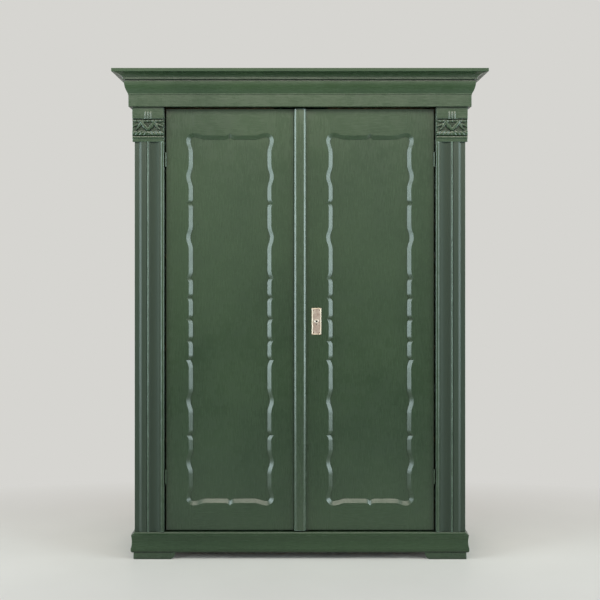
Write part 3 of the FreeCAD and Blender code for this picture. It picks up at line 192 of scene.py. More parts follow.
def light_the_room():
    """A pale room: bright to look at and in reflections, and a faint light on all sides."""
    world = bpy.data.worlds.new("pale_room")
    scene.world = world
    world.use_nodes = True
    tree = world.node_tree
    source = tree.nodes["Background"]
    path = tree.nodes.new("ShaderNodeLightPath")

    def either(first, second):
        node = tree.nodes.new("ShaderNodeMath")
        node.operation = "MAXIMUM"
        tree.links.new(first, node.inputs[0])
        tree.links.new(second, node.inputs[1])
        return node.outputs[0]

    mirrored = either(path.outputs["Is Glossy Ray"], path.outputs["Is Transmission Ray"])
    strength = tree.nodes.new("ShaderNodeMapRange")
    tree.links.new(either(path.outputs["Is Camera Ray"], mirrored), strength.inputs["Value"])
    strength.inputs["To Min"].default_value = AS_LIGHT
    strength.inputs["To Max"].default_value = AS_SEEN
    tree.links.new(strength.outputs["Result"], source.inputs["Strength"])
    source.inputs["Color"].default_value = ROOM_COLOUR


light_the_room()

# ---------------------------------------------------------------------------------------------
# Feet: four flat blocks of pine under the corners, painted green with the rest.  The paint is a
# satin oil paint, brushed along the grain, paled on the arrises as rubbed paint and painted
# highlight, and darkened in the hollows as dust and painted shade.

STREAK_SQUEEZE = 22.0
ALONG = {"x": (1.0, STREAK_SQUEEZE, STREAK_SQUEEZE), "y": (STREAK_SQUEEZE, 1.0, STREAK_SQUEEZE),
         "z": (STREAK_SQUEEZE, STREAK_SQUEEZE, 1.0)}
GREEN_LOW, GREEN_HIGH, GREEN_STREAK = shade(37, 53, 34), shade(44, 60, 39), shade(52, 69, 47)
GREEN_PATCH, GREEN_DUST_AND_SHADE, GREEN_RUBBED_HIGHLIGHT = shade(31, 46, 29), shade(14, 20, 14), shade(116, 139, 126)
CLOUD_SIZE, PATCH_SIZE, STREAK_SIZE, SKIN_SIZE, SWAY_SIZE = 0.35, 0.06, 0.045, 0.004, 0.16
STREAK_SHARE, PATCH_SHARE, LEAST_RUBBED_HIGHLIGHT, RUBBED_HIGHLIGHT_SMOOTHER = 0.35, 0.25, 0.3, 0.2
ROUNDING_SAMPLES, ARRIS_FACING = 6, 0.85
HOLLOW_OPEN, HOLLOW_SHUT = 0.8, 0.35


def arrises(finish, radius):
    """One on the edges of a piece and nothing on its flat faces, and the eased normal."""
    eased = finish.add("Bevel", {"Radius": radius}, samples=ROUNDING_SAMPLES).outputs["Normal"]
    true = finish.add("NewGeometry").outputs["Normal"]
    facing = finish.add("VectorMath", {0: eased, 1: true}, operation="DOT_PRODUCT").outputs["Value"]
    return finish.span(facing, 1.0, ARRIS_FACING), eased


def hollows(finish, reach):
    """One deep in grooves and corners and nothing in the open."""
    air = finish.add("AmbientOcclusion", {"Distance": reach}, samples=ROUNDING_SAMPLES).outputs["AO"]
    return finish.span(air, HOLLOW_OPEN, HOLLOW_SHUT)


def unevenness(finish, height, strength, distance, under):
    """The normal of a slightly uneven skin over the normal that lies under it."""
    return finish.add("Bump", {"Height": height, "Strength": strength, "Distance": distance,
                               "Normal": under}).outputs["Normal"]


@cache
def green_paint(grain, name="green_paint", ease=0.0012, wear_and_highlight=0.85, rubbed_highlight_shade=GREEN_RUBBED_HIGHLIGHT,
                dust_and_shade=0.8, dust_and_shade_reach=0.022, shine=0.6, polish=(0.22, 0.33), dulled_and_shaded=None):
    """The satin paint, brushed along x, y or z.

    Its edges are eased by a radius and paled by a share, as rubbed paint and painted highlight;
    dust and painted shade darken its hollows; polish is its smoothest and its dullest roughness;
    and the dulling function makes a part of a piece dull and darker, as painted shade.
    """
    paint = Finish(f"{name}_{grain}")
    arris, eased = arrises(paint, ease)
    hollow = hollows(paint, dust_and_shade_reach)
    cloud = paint.clouds(CLOUD_SIZE, detail=4.0)
    patch = paint.clouds(PATCH_SIZE, detail=5.0, roughness=0.6)
    streak = paint.clouds(STREAK_SIZE, detail=4.0, stretch=ALONG[grain])
    body = paint.blend(paint.span(cloud, 0.38, 0.62), GREEN_LOW, GREEN_HIGH)
    body = paint.blend(paint.span(streak, 0.35, 0.7, 0.0, STREAK_SHARE), body, GREEN_STREAK)
    body = paint.blend(paint.span(patch, 0.55, 0.75, 0.0, PATCH_SHARE), body, GREEN_PATCH)
    # The arrises are painted paler, partly as rubbed paint and partly as a painted highlight.
    rubbed_highlight = paint.sums("MULTIPLY", arris, paint.span(patch, 0.3, 0.6, wear_and_highlight * LEAST_RUBBED_HIGHLIGHT, wear_and_highlight))
    body = paint.blend(rubbed_highlight, body, rubbed_highlight_shade)
    # Dust and painted shade: the paint is darkened where the hollows mask finds grooves, corners and
    # gaps.
    body = paint.blend(paint.sums("MULTIPLY", hollow, dust_and_shade), body, GREEN_DUST_AND_SHADE)
    gloss = paint.span(paint.sums("ADD", patch, streak), 0.75, 1.25, *polish)
    if dulled_and_shaded:
        gloss, body = dulled_and_shaded(paint, gloss, body)
    gloss = paint.sums("SUBTRACT", gloss, paint.sums("MULTIPLY", rubbed_highlight, RUBBED_HIGHLIGHT_SMOOTHER))
    paint.feed(paint.shader.inputs["Base Color"], body)
    paint.feed(paint.shader.inputs["Roughness"], gloss)
    paint.shader.inputs["Specular IOR Level"].default_value = shine
    bristles = unevenness(paint, streak, strength=0.22, distance=0.0006, under=eased)
    skin = unevenness(paint, paint.clouds(SKIN_SIZE, detail=2.0), strength=0.12, distance=0.0004,
                      under=bristles)
    sway = unevenness(paint, paint.clouds(SWAY_SIZE, detail=1.0), strength=0.2, distance=0.004,
                      under=skin)
    paint.feed(paint.shader.inputs["Normal"], sway)
    return paint.material


def dress(material, *nodes):
    """Gives pieces of the cupboard their finish."""
    for node in nodes:
        cad_nodes[node].material_slots[0].material = material


WELD_WITHIN, FLAT_WITHIN_DEGREES, ARRIS_OVER_DEGREES = 0.00001, 0.5, 32.0


def ease_edges(width, *nodes):
    """Takes the sharpness off the arrises of a piece, as a plane and years of hands do."""
    for node in nodes:
        piece = cad_nodes[node]
        piece.modifiers.new("weld", "WELD").merge_threshold = WELD_WITHIN
        flat = piece.modifiers.new("flat", "DECIMATE")
        flat.decimate_type = "DISSOLVE"
        flat.angle_limit = math.radians(FLAT_WITHIN_DEGREES)
        eased = piece.modifiers.new("eased", "BEVEL")
        eased.width = width
        eased.segments = 2
        eased.limit_method = "ANGLE"
        eased.angle_limit = math.radians(ARRIS_OVER_DEGREES)
        eased.use_clamp_overlap = False
        eased.harden_normals = False
        piece.modifiers.new("normals", "WEIGHTED_NORMAL").keep_sharp = True


FEET = [f"foot_{row}_{side}" for row in ("front", "back") for side in HANDS]
FOOT_EASE = 0.002
dress(green_paint("x"), *FEET)
ease_edges(FOOT_EASE, *FEET)

# ---------------------------------------------------------------------------------------------
# Plinth: moulded pine boards mitred at the front corners and glued to the posts, painted green;
# the plain board at the back, the bottom board above and its ledges are bare pine.

# The plinth's paint is darkened within a longer reach of its hollows, a painted shade under the
# doors.
PLINTH_WEAR_AND_HIGHLIGHT, PLINTH_SHADE_REACH, PLINTH_SHINE = 0.15, 0.05, 0.37
for grain, boards in (("x", ["plinth_front"]), ("y", ["plinth_left", "plinth_right"])):
    dress(green_paint(grain, "plinth_paint", wear_and_highlight=PLINTH_WEAR_AND_HIGHLIGHT, dust_and_shade_reach=PLINTH_SHADE_REACH,
                      shine=PLINTH_SHINE), *boards)

RING_SQUEEZE = 14.0
RINGS_ALONG = {"x": (1.0, RING_SQUEEZE, RING_SQUEEZE), "y": (RING_SQUEEZE, 1.0, RING_SQUEEZE),
               "z": (RING_SQUEEZE, RING_SQUEEZE, 1.0)}
PINE_EARLY, PINE_LATE, PINE_FIBRE = shade(176, 138, 92), shade(139, 98, 58), shade(196, 160, 114)
PINE_AGED, PINE_HOLLOW_DARK, PINE_ARRIS = shade(116, 84, 54), shade(58, 40, 26), shade(200, 170, 128)
RING_SIZE, FIBRE_SIZE, AGE_SIZE = 0.22, 0.03, 0.25
FIBRE_SHARE, AGE_SHARE, PINE_HOLLOW_SHARE, ARRIS_SHARE = 0.5, 0.45, 0.6, 0.4
PINE_EASE, PINE_HOLLOW_REACH, PINE_POLISH, PINE_SHINE = 0.001, 0.03, (0.55, 0.72), 0.3


@cache
def bare_wood(grain, name="bare_wood", parted=None):
    """Old planed pine, with its rings drawn out along x, y or z; parted divides it into boards."""
    pine = Finish(f"{name}_{grain}")
    rings = pine.clouds(RING_SIZE, detail=6.0, roughness=0.62, stretch=RINGS_ALONG[grain],
                        twist=0.6)
    fibres = pine.clouds(FIBRE_SIZE, detail=3.0, stretch=ALONG[grain])
    age = pine.clouds(AGE_SIZE, detail=4.0)
    arris, eased = arrises(pine, PINE_EASE)
    body = pine.blend(pine.span(rings, 0.4, 0.62), PINE_EARLY, PINE_LATE)
    body = pine.blend(pine.span(fibres, 0.4, 0.7, 0.0, FIBRE_SHARE), body, PINE_FIBRE)
    body = pine.blend(pine.span(age, 0.45, 0.7, 0.0, AGE_SHARE), body, PINE_AGED)
    # The pine is made darker in its corners and hollows.
    hollow = hollows(pine, PINE_HOLLOW_REACH)
    body = pine.blend(pine.sums("MULTIPLY", hollow, PINE_HOLLOW_SHARE), body, PINE_HOLLOW_DARK)
    body = pine.blend(pine.sums("MULTIPLY", arris, ARRIS_SHARE), body, PINE_ARRIS)
    if parted:
        body = parted(pine, body)
    pine.feed(pine.shader.inputs["Base Color"], body)
    pine.feed(pine.shader.inputs["Roughness"], pine.span(rings, 0.3, 0.7, *PINE_POLISH))
    pine.shader.inputs["Specular IOR Level"].default_value = PINE_SHINE
    raised = pine.sums("ADD", rings, fibres)
    pine.feed(pine.shader.inputs["Normal"],
              unevenness(pine, raised, strength=0.35, distance=0.0012, under=eased))
    return pine.material


dress(bare_wood("x"), "plinth_back", "bottom_board", "bottom_ledges")

# ---------------------------------------------------------------------------------------------
# Carcass: corner posts, rails and framed sides of pine, mortised together and painted; the
# ceiling, the board behind the frieze and the door stops are left bare.

dress(green_paint("z"), "post_left", "post_right", "side_frame_left", "side_frame_right",
      "side_panels")
dress(green_paint("x"), "head_rail", "bottom_rail")
dress(bare_wood("x"), "ceiling_board", "door_stops", "frieze_back")

# ---------------------------------------------------------------------------------------------
# Back: upright bare pine boards, nailed into the rails above and below and into the sides with
# square-cut iron nails, whose heads are driven flush with the wood.

BACK_LOW, BACK_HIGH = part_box("back_boards")
BOARD_COUNT = 8
BOARD_WIDE = (BACK_HIGH.x - BACK_LOW.x) / BOARD_COUNT
BOARD_TONE, BOARD_SEAM = shade(122, 90, 60), shade(30, 20, 14)
TONE_SHARE, SEAM_SHARE, SEAM_DARK_TO, SEAM_FADES_TO = 0.4, 0.85, 0.0004, 0.0012


def sideways(finish):
    """How far to the right a place on the piece lies, in metres."""
    return finish.add("SeparateXYZ", {0: finish.places()}).outputs["X"]


def part_the_boards(pine, body):
    """Gives each board of the back its own tone, and a dark seam beside its neighbour."""
    steps = pine.sums("DIVIDE", pine.sums("SUBTRACT", sideways(pine), BACK_LOW.x), BOARD_WIDE)
    tone = pine.add("TexWhiteNoise", {"W": pine.sums("FLOOR", steps)},
                    noise_dimensions="1D").outputs["Value"]
    body = pine.blend(pine.span(tone, 0.0, 1.0, 0.0, TONE_SHARE), body, BOARD_TONE)
    from_edge = pine.sums("PINGPONG", steps, 0.5)
    seam = pine.span(from_edge, SEAM_FADES_TO / BOARD_WIDE, SEAM_DARK_TO / BOARD_WIDE)
    return pine.blend(pine.sums("MULTIPLY", seam, SEAM_SHARE), body, BOARD_SEAM)


dress(bare_wood("z", "board_wood", parted=part_the_boards), "back_boards")

TARNISH_SIZE, SPECK_SIZE, METAL_EASE, METAL_DIRT_REACH = 0.012, 0.003, 0.0006, 0.006
METAL_DIRT_SHARE, METAL_ARRIS_SHARE = 0.8, 0.6
SMOOTHER, ROUGHER = 0.07, 0.1


def worn_metal(name, deep, bright, dirt, roughness, grime=0.35):
    """Metal with a clouded tarnish, brighter on its edges and dull in its corners."""
    metal = Finish(name)
    arris, eased = arrises(metal, METAL_EASE)
    cloud = metal.clouds(TARNISH_SIZE, detail=5.0, roughness=0.6)
    speck = metal.clouds(SPECK_SIZE, detail=3.0)
    hollow = hollows(metal, METAL_DIRT_REACH)
    body = metal.blend(metal.span(cloud, 0.35, 0.65), deep, bright)
    body = metal.blend(metal.span(speck, 0.5, 0.75, 0.0, grime), body, dirt)
    body = metal.blend(metal.sums("MULTIPLY", hollow, METAL_DIRT_SHARE), body, dirt)
    body = metal.blend(metal.sums("MULTIPLY", arris, METAL_ARRIS_SHARE), body, bright)
    metal.feed(metal.shader.inputs["Base Color"], body)
    metal.feed(metal.shader.inputs["Roughness"],
               metal.span(speck, 0.3, 0.7, roughness - SMOOTHER, roughness + ROUGHER))
    metal.shader.inputs["Metallic"].default_value = 1.0
    metal.feed(metal.shader.inputs["Normal"],
               unevenness(metal, cloud, strength=0.3, distance=0.0008, under=eased))
    return metal.material


def finish_piece(name, shape, material, body, smooth=30.0):
    """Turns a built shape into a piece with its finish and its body."""
    bmesh.ops.recalc_face_normals(shape, faces=shape.faces)
    for face in shape.faces:
        face.smooth = True
    for edge in shape.edges:
        if len(edge.link_faces) == 2 and edge.calc_face_angle() > math.radians(smooth):
            edge.smooth = False
    mesh = bpy.data.meshes.new(name)
    shape.to_mesh(mesh)
    shape.free()
    mesh.materials.append(material)
    piece = bpy.data.objects.new(name, mesh)
    scene.collection.objects.link(piece)
    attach(piece, body)


def join_rings(shape, low, high):
    """A band of faces between two rings with as many corners each."""
    for here in range(len(low)):
        after = (here + 1) % len(low)
        shape.faces.new((low[here], low[after], high[after], high[here]))


def add_solid(shape, rings):
    """Adds a closed solid through rings of points, with a cap on its first and its last ring."""
    rows = [[shape.verts.new(point) for point in ring] for ring in rings]
    for low, high in zip(rows, rows[1:]):
        join_rings(shape, low, high)
    shape.faces.new(rows[0][::-1])
    shape.faces.new(rows[-1])


HEAD_HALF, HEAD_SUNK, HEAD_PROUD = 0.0036, 0.0004, 0.00004
HEAD_CORNERS = ((-1, -1), (1, -1), (1, 1), (-1, 1))
HEAD_RINGS = ((1.0, -HEAD_SUNK), (0.98, HEAD_PROUD / 2), (0.9, HEAD_PROUD))
ACROSS_BOARD = (0.25, 0.75)
TOP_NAIL_DOWN, TOP_NAIL_WANDERS = 0.03, 0.006
FOOT_NAIL_UP, FOOT_NAIL_WANDERS, FOOT_NAIL_ASIDE = 0.02, 0.005, 0.004
SIDE_NAILS, SIDE_NAIL_STEP, SIDE_NAIL_IN, SIDE_NAIL_WANDERS = 7, 0.2, 0.022, 0.003


def nail_the_back():
    """The nails' four-sided heads, as one piece."""
    heads = []
    for board in range(BOARD_COUNT):
        for share in ACROSS_BOARD:
            x = BACK_LOW.x + BOARD_WIDE * (board + share)
            heads += [(x, BACK_HIGH.z - TOP_NAIL_DOWN - TOP_NAIL_WANDERS * (board % 2)),
                      (x + FOOT_NAIL_ASIDE,
                       BACK_LOW.z + FOOT_NAIL_UP + FOOT_NAIL_WANDERS * (board % 3))]
    for hand in HANDS.values():
        heads += [(hand * (BACK_HIGH.x - SIDE_NAIL_IN - SIDE_NAIL_WANDERS * (step % 2)),
                   BACK_LOW.z + SIDE_NAIL_STEP * step) for step in range(1, SIDE_NAILS + 1)]
    shape = bmesh.new()
    for x, z in heads:
        add_solid(shape, [[(x + HEAD_HALF * share * across, BACK_HIGH.y + rise,
                            z + HEAD_HALF * share * up) for across, up in HEAD_CORNERS]
                          for share, rise in HEAD_RINGS])
    nail_iron = worn_metal("nail_iron", deep=shade(62, 50, 42), bright=shade(104, 92, 82),
                           dirt=shade(34, 24, 18), roughness=0.55)
    finish_piece("back_nails", shape, nail_iron, "cabinet")


nail_the_back()

# ---------------------------------------------------------------------------------------------
# Inside: toothed racks nailed upright in the corners, bearers laid loose in their teeth and four
# loose shelves on the bearers, all of bare planed pine.

dress(bare_wood("z", "rack_wood"), "shelf_racks")
dress(bare_wood("y", "bearer_wood"), "shelf_bearers")
dress(bare_wood("x", "shelf_wood"), "shelves")

# ---------------------------------------------------------------------------------------------
# Pilasters: one moulded pine board glued on each corner post, with a flat fillet, a round, a fine
# quirk and a wide flute.  A bead runs along the door and a finer one on the arris of the flute.

# The pilaster's paint is darkened all over, and a little more in the flute, as painted shade.
FLUTE_MIDDLE, FLUTE_HALF_WIDE, FLUTE_FADE = 0.56, 0.0215, 0.004
FLUTE_DULL, FLUTE_SHADE_SHARE, FLUTE_PAINTED_SHADE = (0.48, 0.78), (0.75, 0.8), shade(24, 36, 24)


def dull_and_shade_the_flute(paint, gloss, body):
    """Dulls the wide flute, where no hand or cloth has polished it, and darkens the pilaster's paint
    as painted shade, the flute a little more than the flats.
    """
    from_middle = paint.sums("SUBTRACT", paint.sums("ABSOLUTE", sideways(paint)), FLUTE_MIDDLE)
    inside = paint.span(paint.sums("ABSOLUTE", from_middle), FLUTE_HALF_WIDE,
                        FLUTE_HALF_WIDE - FLUTE_FADE)
    gloss = paint.sums("MAXIMUM", gloss, paint.span(inside, 0.0, 1.0, *FLUTE_DULL))
    return gloss, paint.blend(paint.span(inside, 0.0, 1.0, *FLUTE_SHADE_SHARE), body, FLUTE_PAINTED_SHADE)


# The pilaster's arrises are painted paler, as rubbed paint and as a painted highlight.
dress(green_paint("z", "pilaster_paint", ease=0.0022, wear_and_highlight=1.0, rubbed_highlight_shade=shade(126, 148, 134),
                  shine=0.52, dulled_and_shaded=dull_and_shade_the_flute), "pilaster_left", "pilaster_right")
BEAD_STEPS, BEAD_ROOT, BEAD_SHORT = 14, 0.002, 0.0005
DOOR_BEAD_X, DOOR_BEAD_HALF_WIDE, DOOR_BEAD_PROUD = 0.5298, 0.0062, 0.0034
ARRIS_BEAD_X, ARRIS_BEAD_HALF_WIDE, ARRIS_BEAD_PROUD = 0.5848, 0.0026, 0.0024


def pilaster_bead(name, x_middle, half_wide, proud, material):
    """A fine half round that runs the height of a pilaster, a hair into the wood behind it."""
    low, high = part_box("pilaster_right")
    turns = [math.pi * step / BEAD_STEPS for step in range(BEAD_STEPS + 1)]
    section = [(x_middle - half_wide, low.y + BEAD_ROOT)]
    section += [(x_middle - half_wide * math.cos(turn), low.y - proud * math.sin(turn))
                for turn in turns]
    section += [(x_middle + half_wide, low.y + BEAD_ROOT)]
    shape = bmesh.new()
    add_solid(shape, [[(x, y, z) for x, y in section]
                      for z in (low.z + BEAD_SHORT, high.z - BEAD_SHORT)])
    finish_piece(name, shape, material, "cabinet", smooth=50.0)


# The two beads are painted pale along their rounds, a painted highlight as well as rubbed paint.
bead_paint = green_paint("z", "bead_paint", ease=0.003, wear_and_highlight=0.9, rubbed_highlight_shade=shade(180, 204, 190))
arris_paint = green_paint("z", "arris_paint", ease=0.004, wear_and_highlight=1.0, rubbed_highlight_shade=shade(176, 200, 184))
for side, hand in HANDS.items():
    pilaster_bead(f"pilaster_bead_{side}", hand * DOOR_BEAD_X, DOOR_BEAD_HALF_WIDE,
                  DOOR_BEAD_PROUD, bead_paint)
    pilaster_bead(f"pilaster_arris_{side}", hand * ARRIS_BEAD_X, ARRIS_BEAD_HALF_WIDE,
                  ARRIS_BEAD_PROUD, arris_paint)

# ---------------------------------------------------------------------------------------------
# Capitals: a block, a bell, a torus and a bead of pine, glued on above each pilaster.  The bell
# is carved with pointed leaves, the torus is cut like a rope, and three reeds run down the block.

# The carving's hollows are painted darkest, as dust and as painted shade between the leaves.
CARVED_PAINT = green_paint("x", "carved_paint", ease=0.002, wear_and_highlight=0.8, dust_and_shade=1.0, dust_and_shade_reach=0.02)
dress(CARVED_PAINT, "capital_left", "capital_right")
CAPITAL_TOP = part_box("capital_left")[1].z
CAPITAL_HALF = 0.0582
BELL_LOW, BELL_HIGH, BELL_FRONT = CAPITAL_TOP - 0.0905, CAPITAL_TOP - 0.0448, -0.2217
BELL_COLUMNS, BELL_ROWS = 176, 72
LEAVES_IN, ROPE_IN, REEDS_IN = 0.003, 0.004, 0.002

# Each leaf is the rib from its foot to its tip, from the middle of the bell outwards and from the
# bell's foot upwards, its half width at the foot, the middle and the tip, and how far it stands
# out.  Each lobe under the upper edge is its place, its height and its half width.  All are in
# millimetres, and all are carved alike on both sides of the middle.
LEAVES = (
    (((1, 7), (8, 10), (16, 20), (25, 33)), (7.0, 9.5, 7.0), 9.5),
    (((23, 34), (30, 25), (33, 13), (46, 4)), (6.0, 6.5, 3.0), 8.0),
    (((33, 26), (42, 22), (50, 20), (58, 15)), (5.0, 5.5, 3.5), 7.0),
    (((0, 4), (2, 4), (2, 5), (0, 6)), (7.5, 7.5, 7.5), 8.5),
    (((0, 37), (8, 36), (16, 36), (24, 38)), (5.0, 4.6, 5.0), 5.5),
    (((30, 38), (38, 36), (46, 36), (58, 38)), (5.0, 4.6, 4.0), 5.5),
)
LOBES = ((0, 37, 6.0), (17, 37, 5.5), (33, 37, 6.0), (48, 37, 5.5))
LEAF_STEPS, LEAF_NOTCHES, NOTCH_SHARE = 60, 3.0, 0.14
FOLD_SHARE, FOLD_HALF_WIDE = 0.16, 0.22
LOBE_PROUD, LOBE_TALLER = 6.6, 1.25


def leaf_relief(across, up):
    """Height of the carving in millimetres at points of the bell."""
    height = np.zeros_like(across)
    for rib, half_wides, proud in LEAVES:
        knots = np.array(rib, dtype=float)
        for hand in HANDS.values():
            for step in np.linspace(0.0, 1.0, LEAF_STEPS):
                back = 1.0 - step
                weights = (back ** 3, 3 * back ** 2 * step, 3 * back * step ** 2, step ** 3)
                place = sum(weight * knot for weight, knot in zip(weights, knots))
                wide = np.interp(step, (0.0, 0.5, 1.0), half_wides)
                wide *= 1.0 - NOTCH_SHARE + NOTCH_SHARE * abs(math.sin(step * math.pi * LEAF_NOTCHES))
                far = np.hypot(across - hand * place[0], up - place[1]) / wide
                dome = np.clip(1.0 - far ** 3, 0.0, None) ** 0.5
                fold = 1.0 - FOLD_SHARE * np.exp(-(far / FOLD_HALF_WIDE) ** 2)
                height = np.maximum(height, proud * dome * fold)
    for place, high, wide in LOBES:
        for hand in HANDS.values():
            far = np.hypot((across - hand * place) / wide, (up - high) / (wide * LOBE_TALLER))
            dome = np.clip(1.0 - far ** 2.0, 0.0, None) ** 0.6
            height = np.maximum(height, LOBE_PROUD * dome)
    return height


def build_relief(name, side, across, z, y_front, y_back):
    """A closed slab of wood on a capital, whose front follows a grid of depths."""
    low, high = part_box(f"capital_{side}")
    x = (low.x + high.x) / 2 + across
    rows, columns = x.shape
    shape = bmesh.new()
    front = [[shape.verts.new((x[r, c], y_front[r, c], z[r, c])) for c in range(columns)]
             for r in range(rows)]
    back = [[shape.verts.new((x[r, c], y_back, z[r, c])) for c in range(columns)]
            for r in range(rows)]
    for r in range(rows - 1):
        for c in range(columns - 1):
            shape.faces.new((front[r][c], front[r][c + 1], front[r + 1][c + 1], front[r + 1][c]))
            shape.faces.new((back[r][c], back[r + 1][c], back[r + 1][c + 1], back[r][c + 1]))
    for c in range(columns - 1):
        for r in (0, rows - 1):
            shape.faces.new((front[r][c], back[r][c], back[r][c + 1], front[r][c + 1]))
    for r in range(rows - 1):
        for c in (0, columns - 1):
            shape.faces.new((front[r][c], back[r][c], back[r + 1][c], front[r + 1][c]))
    finish_piece(name, shape, CARVED_PAINT, "cabinet", smooth=75.0)


def carve_leaves(side):
    """The leaves on the bell; at both ends of the bell they are cut down to half."""
    across, up = np.meshgrid(np.linspace(-CAPITAL_HALF, CAPITAL_HALF, BELL_COLUMNS),
                             np.linspace(0.0, BELL_HIGH - BELL_LOW, BELL_ROWS))
    relief = leaf_relief(across * 1000.0, up * 1000.0) / 1000.0
    relief[:, :1] *= 0.5
    relief[:, -1:] *= 0.5
    build_relief(f"capital_leaves_{side}", side, across, BELL_LOW + up, BELL_FRONT - relief,
                 BELL_FRONT + LEAVES_IN)


ROPE_LOW, ROPE_HIGH, ROPE_ROOT = CAPITAL_TOP - 0.1098, CAPITAL_TOP - 0.0912, -0.2232
ROPE_CREST, ROPE_CREST_SHARE, ROPE_LOBE_PROUD = 0.0062, 0.75, 0.0036
ROPE_LOBE_LONG, ROPE_SLANT, ROPE_START, ROPE_FULLNESS, ROPE_SHOULDER = 0.0165, 0.8, 0.2, 0.45, 1.6
ROPE_COLUMNS, ROPE_ROWS = 180, 24


def carve_rope(side):
    """The slanting lobes of the rope on the torus below the bell."""
    across, up = np.meshgrid(np.linspace(-CAPITAL_HALF, CAPITAL_HALF, ROPE_COLUMNS),
                             np.linspace(0.0, 1.0, ROPE_ROWS))
    round_out = np.sqrt(np.clip(1.0 - (up * 2.0 - 1.0) ** 2, 0.0, 1.0))
    turns = np.abs(across) / ROPE_LOBE_LONG + (up - 0.5) * ROPE_SLANT + ROPE_START
    lobes = np.abs(np.sin(math.pi * turns)) ** ROPE_FULLNESS
    depth = ROPE_CREST * round_out * ROPE_CREST_SHARE
    depth = depth + ROPE_LOBE_PROUD * lobes * np.clip(round_out * ROPE_SHOULDER, 0.0, 1.0)
    build_relief(f"capital_rope_{side}", side, across, ROPE_LOW + up * (ROPE_HIGH - ROPE_LOW),
                 ROPE_ROOT - depth, ROPE_ROOT + ROPE_IN)


REED_LOW, REED_HIGH, REED_ROOT = CAPITAL_TOP - 0.0463, CAPITAL_TOP - 0.0125, -0.2272
REED_PLACES, REED_HALF_WIDE, REED_PROUD = (-0.0105, 0.0, 0.0105), 0.0036, 0.0034
REED_TIP, REED_TAPER, REED_POINT = 0.001, 0.026, 0.7
REEDS_HALF_WIDE, REED_COLUMNS, REED_ROWS = 0.0165, 67, 40


def carve_reeds(side):
    """Three slender reeds on the lower half of the block, side by side, that taper upwards."""
    across, z = np.meshgrid(np.linspace(-REEDS_HALF_WIDE, REEDS_HALF_WIDE, REED_COLUMNS),
                            np.linspace(REED_LOW, REED_HIGH, REED_ROWS))
    reach = np.clip((REED_HIGH - REED_TIP - z) / REED_TAPER, 0.0, 1.0) ** REED_POINT
    reeds = np.zeros_like(across)
    for place in REED_PLACES:
        swell = np.sqrt(np.clip(1 - ((across - place) / REED_HALF_WIDE) ** 2, 0, 1))
        reeds = np.maximum(reeds, REED_PROUD * reach * swell)
    build_relief(f"capital_reeds_{side}", side, across, z, REED_ROOT - reeds,
                 REED_ROOT + REEDS_IN)


for side in HANDS:
    carve_leaves(side)
    carve_rope(side)
    carve_reeds(side)

# ---------------------------------------------------------------------------------------------
# Cornice: a bare frieze, a long quarter round, a quirk, a flat band and a hollow that carries the
# thin cap board.  The moulding is mitred at the front corners and runs back along both sides.

# The cornice's paint is darkened within a long reach of its hollows, a painted shade under the cap
# and the cove.
CORNICE_WEAR_AND_HIGHLIGHT, CORNICE_DUST_AND_SHADE, CORNICE_SHADE_REACH = 0.2, 0.9, 0.08
CAP_EASE = 0.0008
for grain, lengths in (("x", ["frieze_front", "cornice_front"]),
                       ("y", ["frieze_sides", "cornice_left", "cornice_right"])):
    dress(green_paint(grain, "cornice_paint", wear_and_highlight=CORNICE_WEAR_AND_HIGHLIGHT, dust_and_shade=CORNICE_DUST_AND_SHADE,
                      dust_and_shade_reach=CORNICE_SHADE_REACH), *lengths)
dress(green_paint("x", "cap_paint", wear_and_highlight=0.1, shine=0.26, polish=(0.5, 0.62)), "cap_board")
ease_edges(CAP_EASE, "cap_board")

# ---------------------------------------------------------------------------------------------
# Doors: mortised pine frames round a flat sunk panel, hung on two hinges each, with a scalloped
# moulding worked on the frame.  They are the smoothest and least worn surfaces of the cupboard.

# The doors' paint darkens beside their gaps and the strip, as dust and painted shade.
DOOR_EASE, DOOR_WEAR_AND_HIGHLIGHT, FRAME_SHINE, PANEL_SHINE = 0.0002, 0.2, 0.6, 0.66
for grain, name, pieces, shine in (
        ("z", "stile_paint", ("hinge_stile", "meeting_stile"), FRAME_SHINE),
        ("z", "panel_paint", ("panel",), PANEL_SHINE),
        ("x", "rail_paint", ("top_rail", "bottom_rail"), FRAME_SHINE)):
    dress(green_paint(grain, name, ease=DOOR_EASE, wear_and_highlight=DOOR_WEAR_AND_HIGHLIGHT, shine=shine),
          *(f"{side}_{piece}" for side in HANDS for piece in pieces))

# ---------------------------------------------------------------------------------------------
# Hinges: iron lift-off pairs, painted over with the woodwork; their leaves are let into the edges
# of the doors and the posts and held by two slotted screws each.

PAINTED_IRON = green_paint("z", "painted_iron", ease=0.0006)
dress(PAINTED_IRON, "left_door_hinge_halves", "right_door_hinge_halves", "post_hinge_halves")
HINGE_HEIGHTS = {"upper": 1.537, "lower": 0.314}
SCREW_DEPTHS, SCREW_FROM_JOINT, HINGE_SCREW_RADIUS = (-0.1995, -0.1875), 0.0138, 0.0032
DOOR_LEAF_X, POST_LEAF_X = 0.516, 0.522
SCREW_TURN, NEXT_SCREW_TURN, HINGE_TURNS = 0.5, 1.1, {"upper": 0.7, "lower": 0.0}
SLOT_SHARE, SCREW_FOOT, SLOT_FLOOR, SCREW_PROUD = 0.13, -0.001, -0.0004, 0.00045
DISC_INSET, DOME_INSET, DOME_SHOULDER = 0.97, 0.9, 0.35
SCREW_STEPS, DOME_STEPS = 24, 12


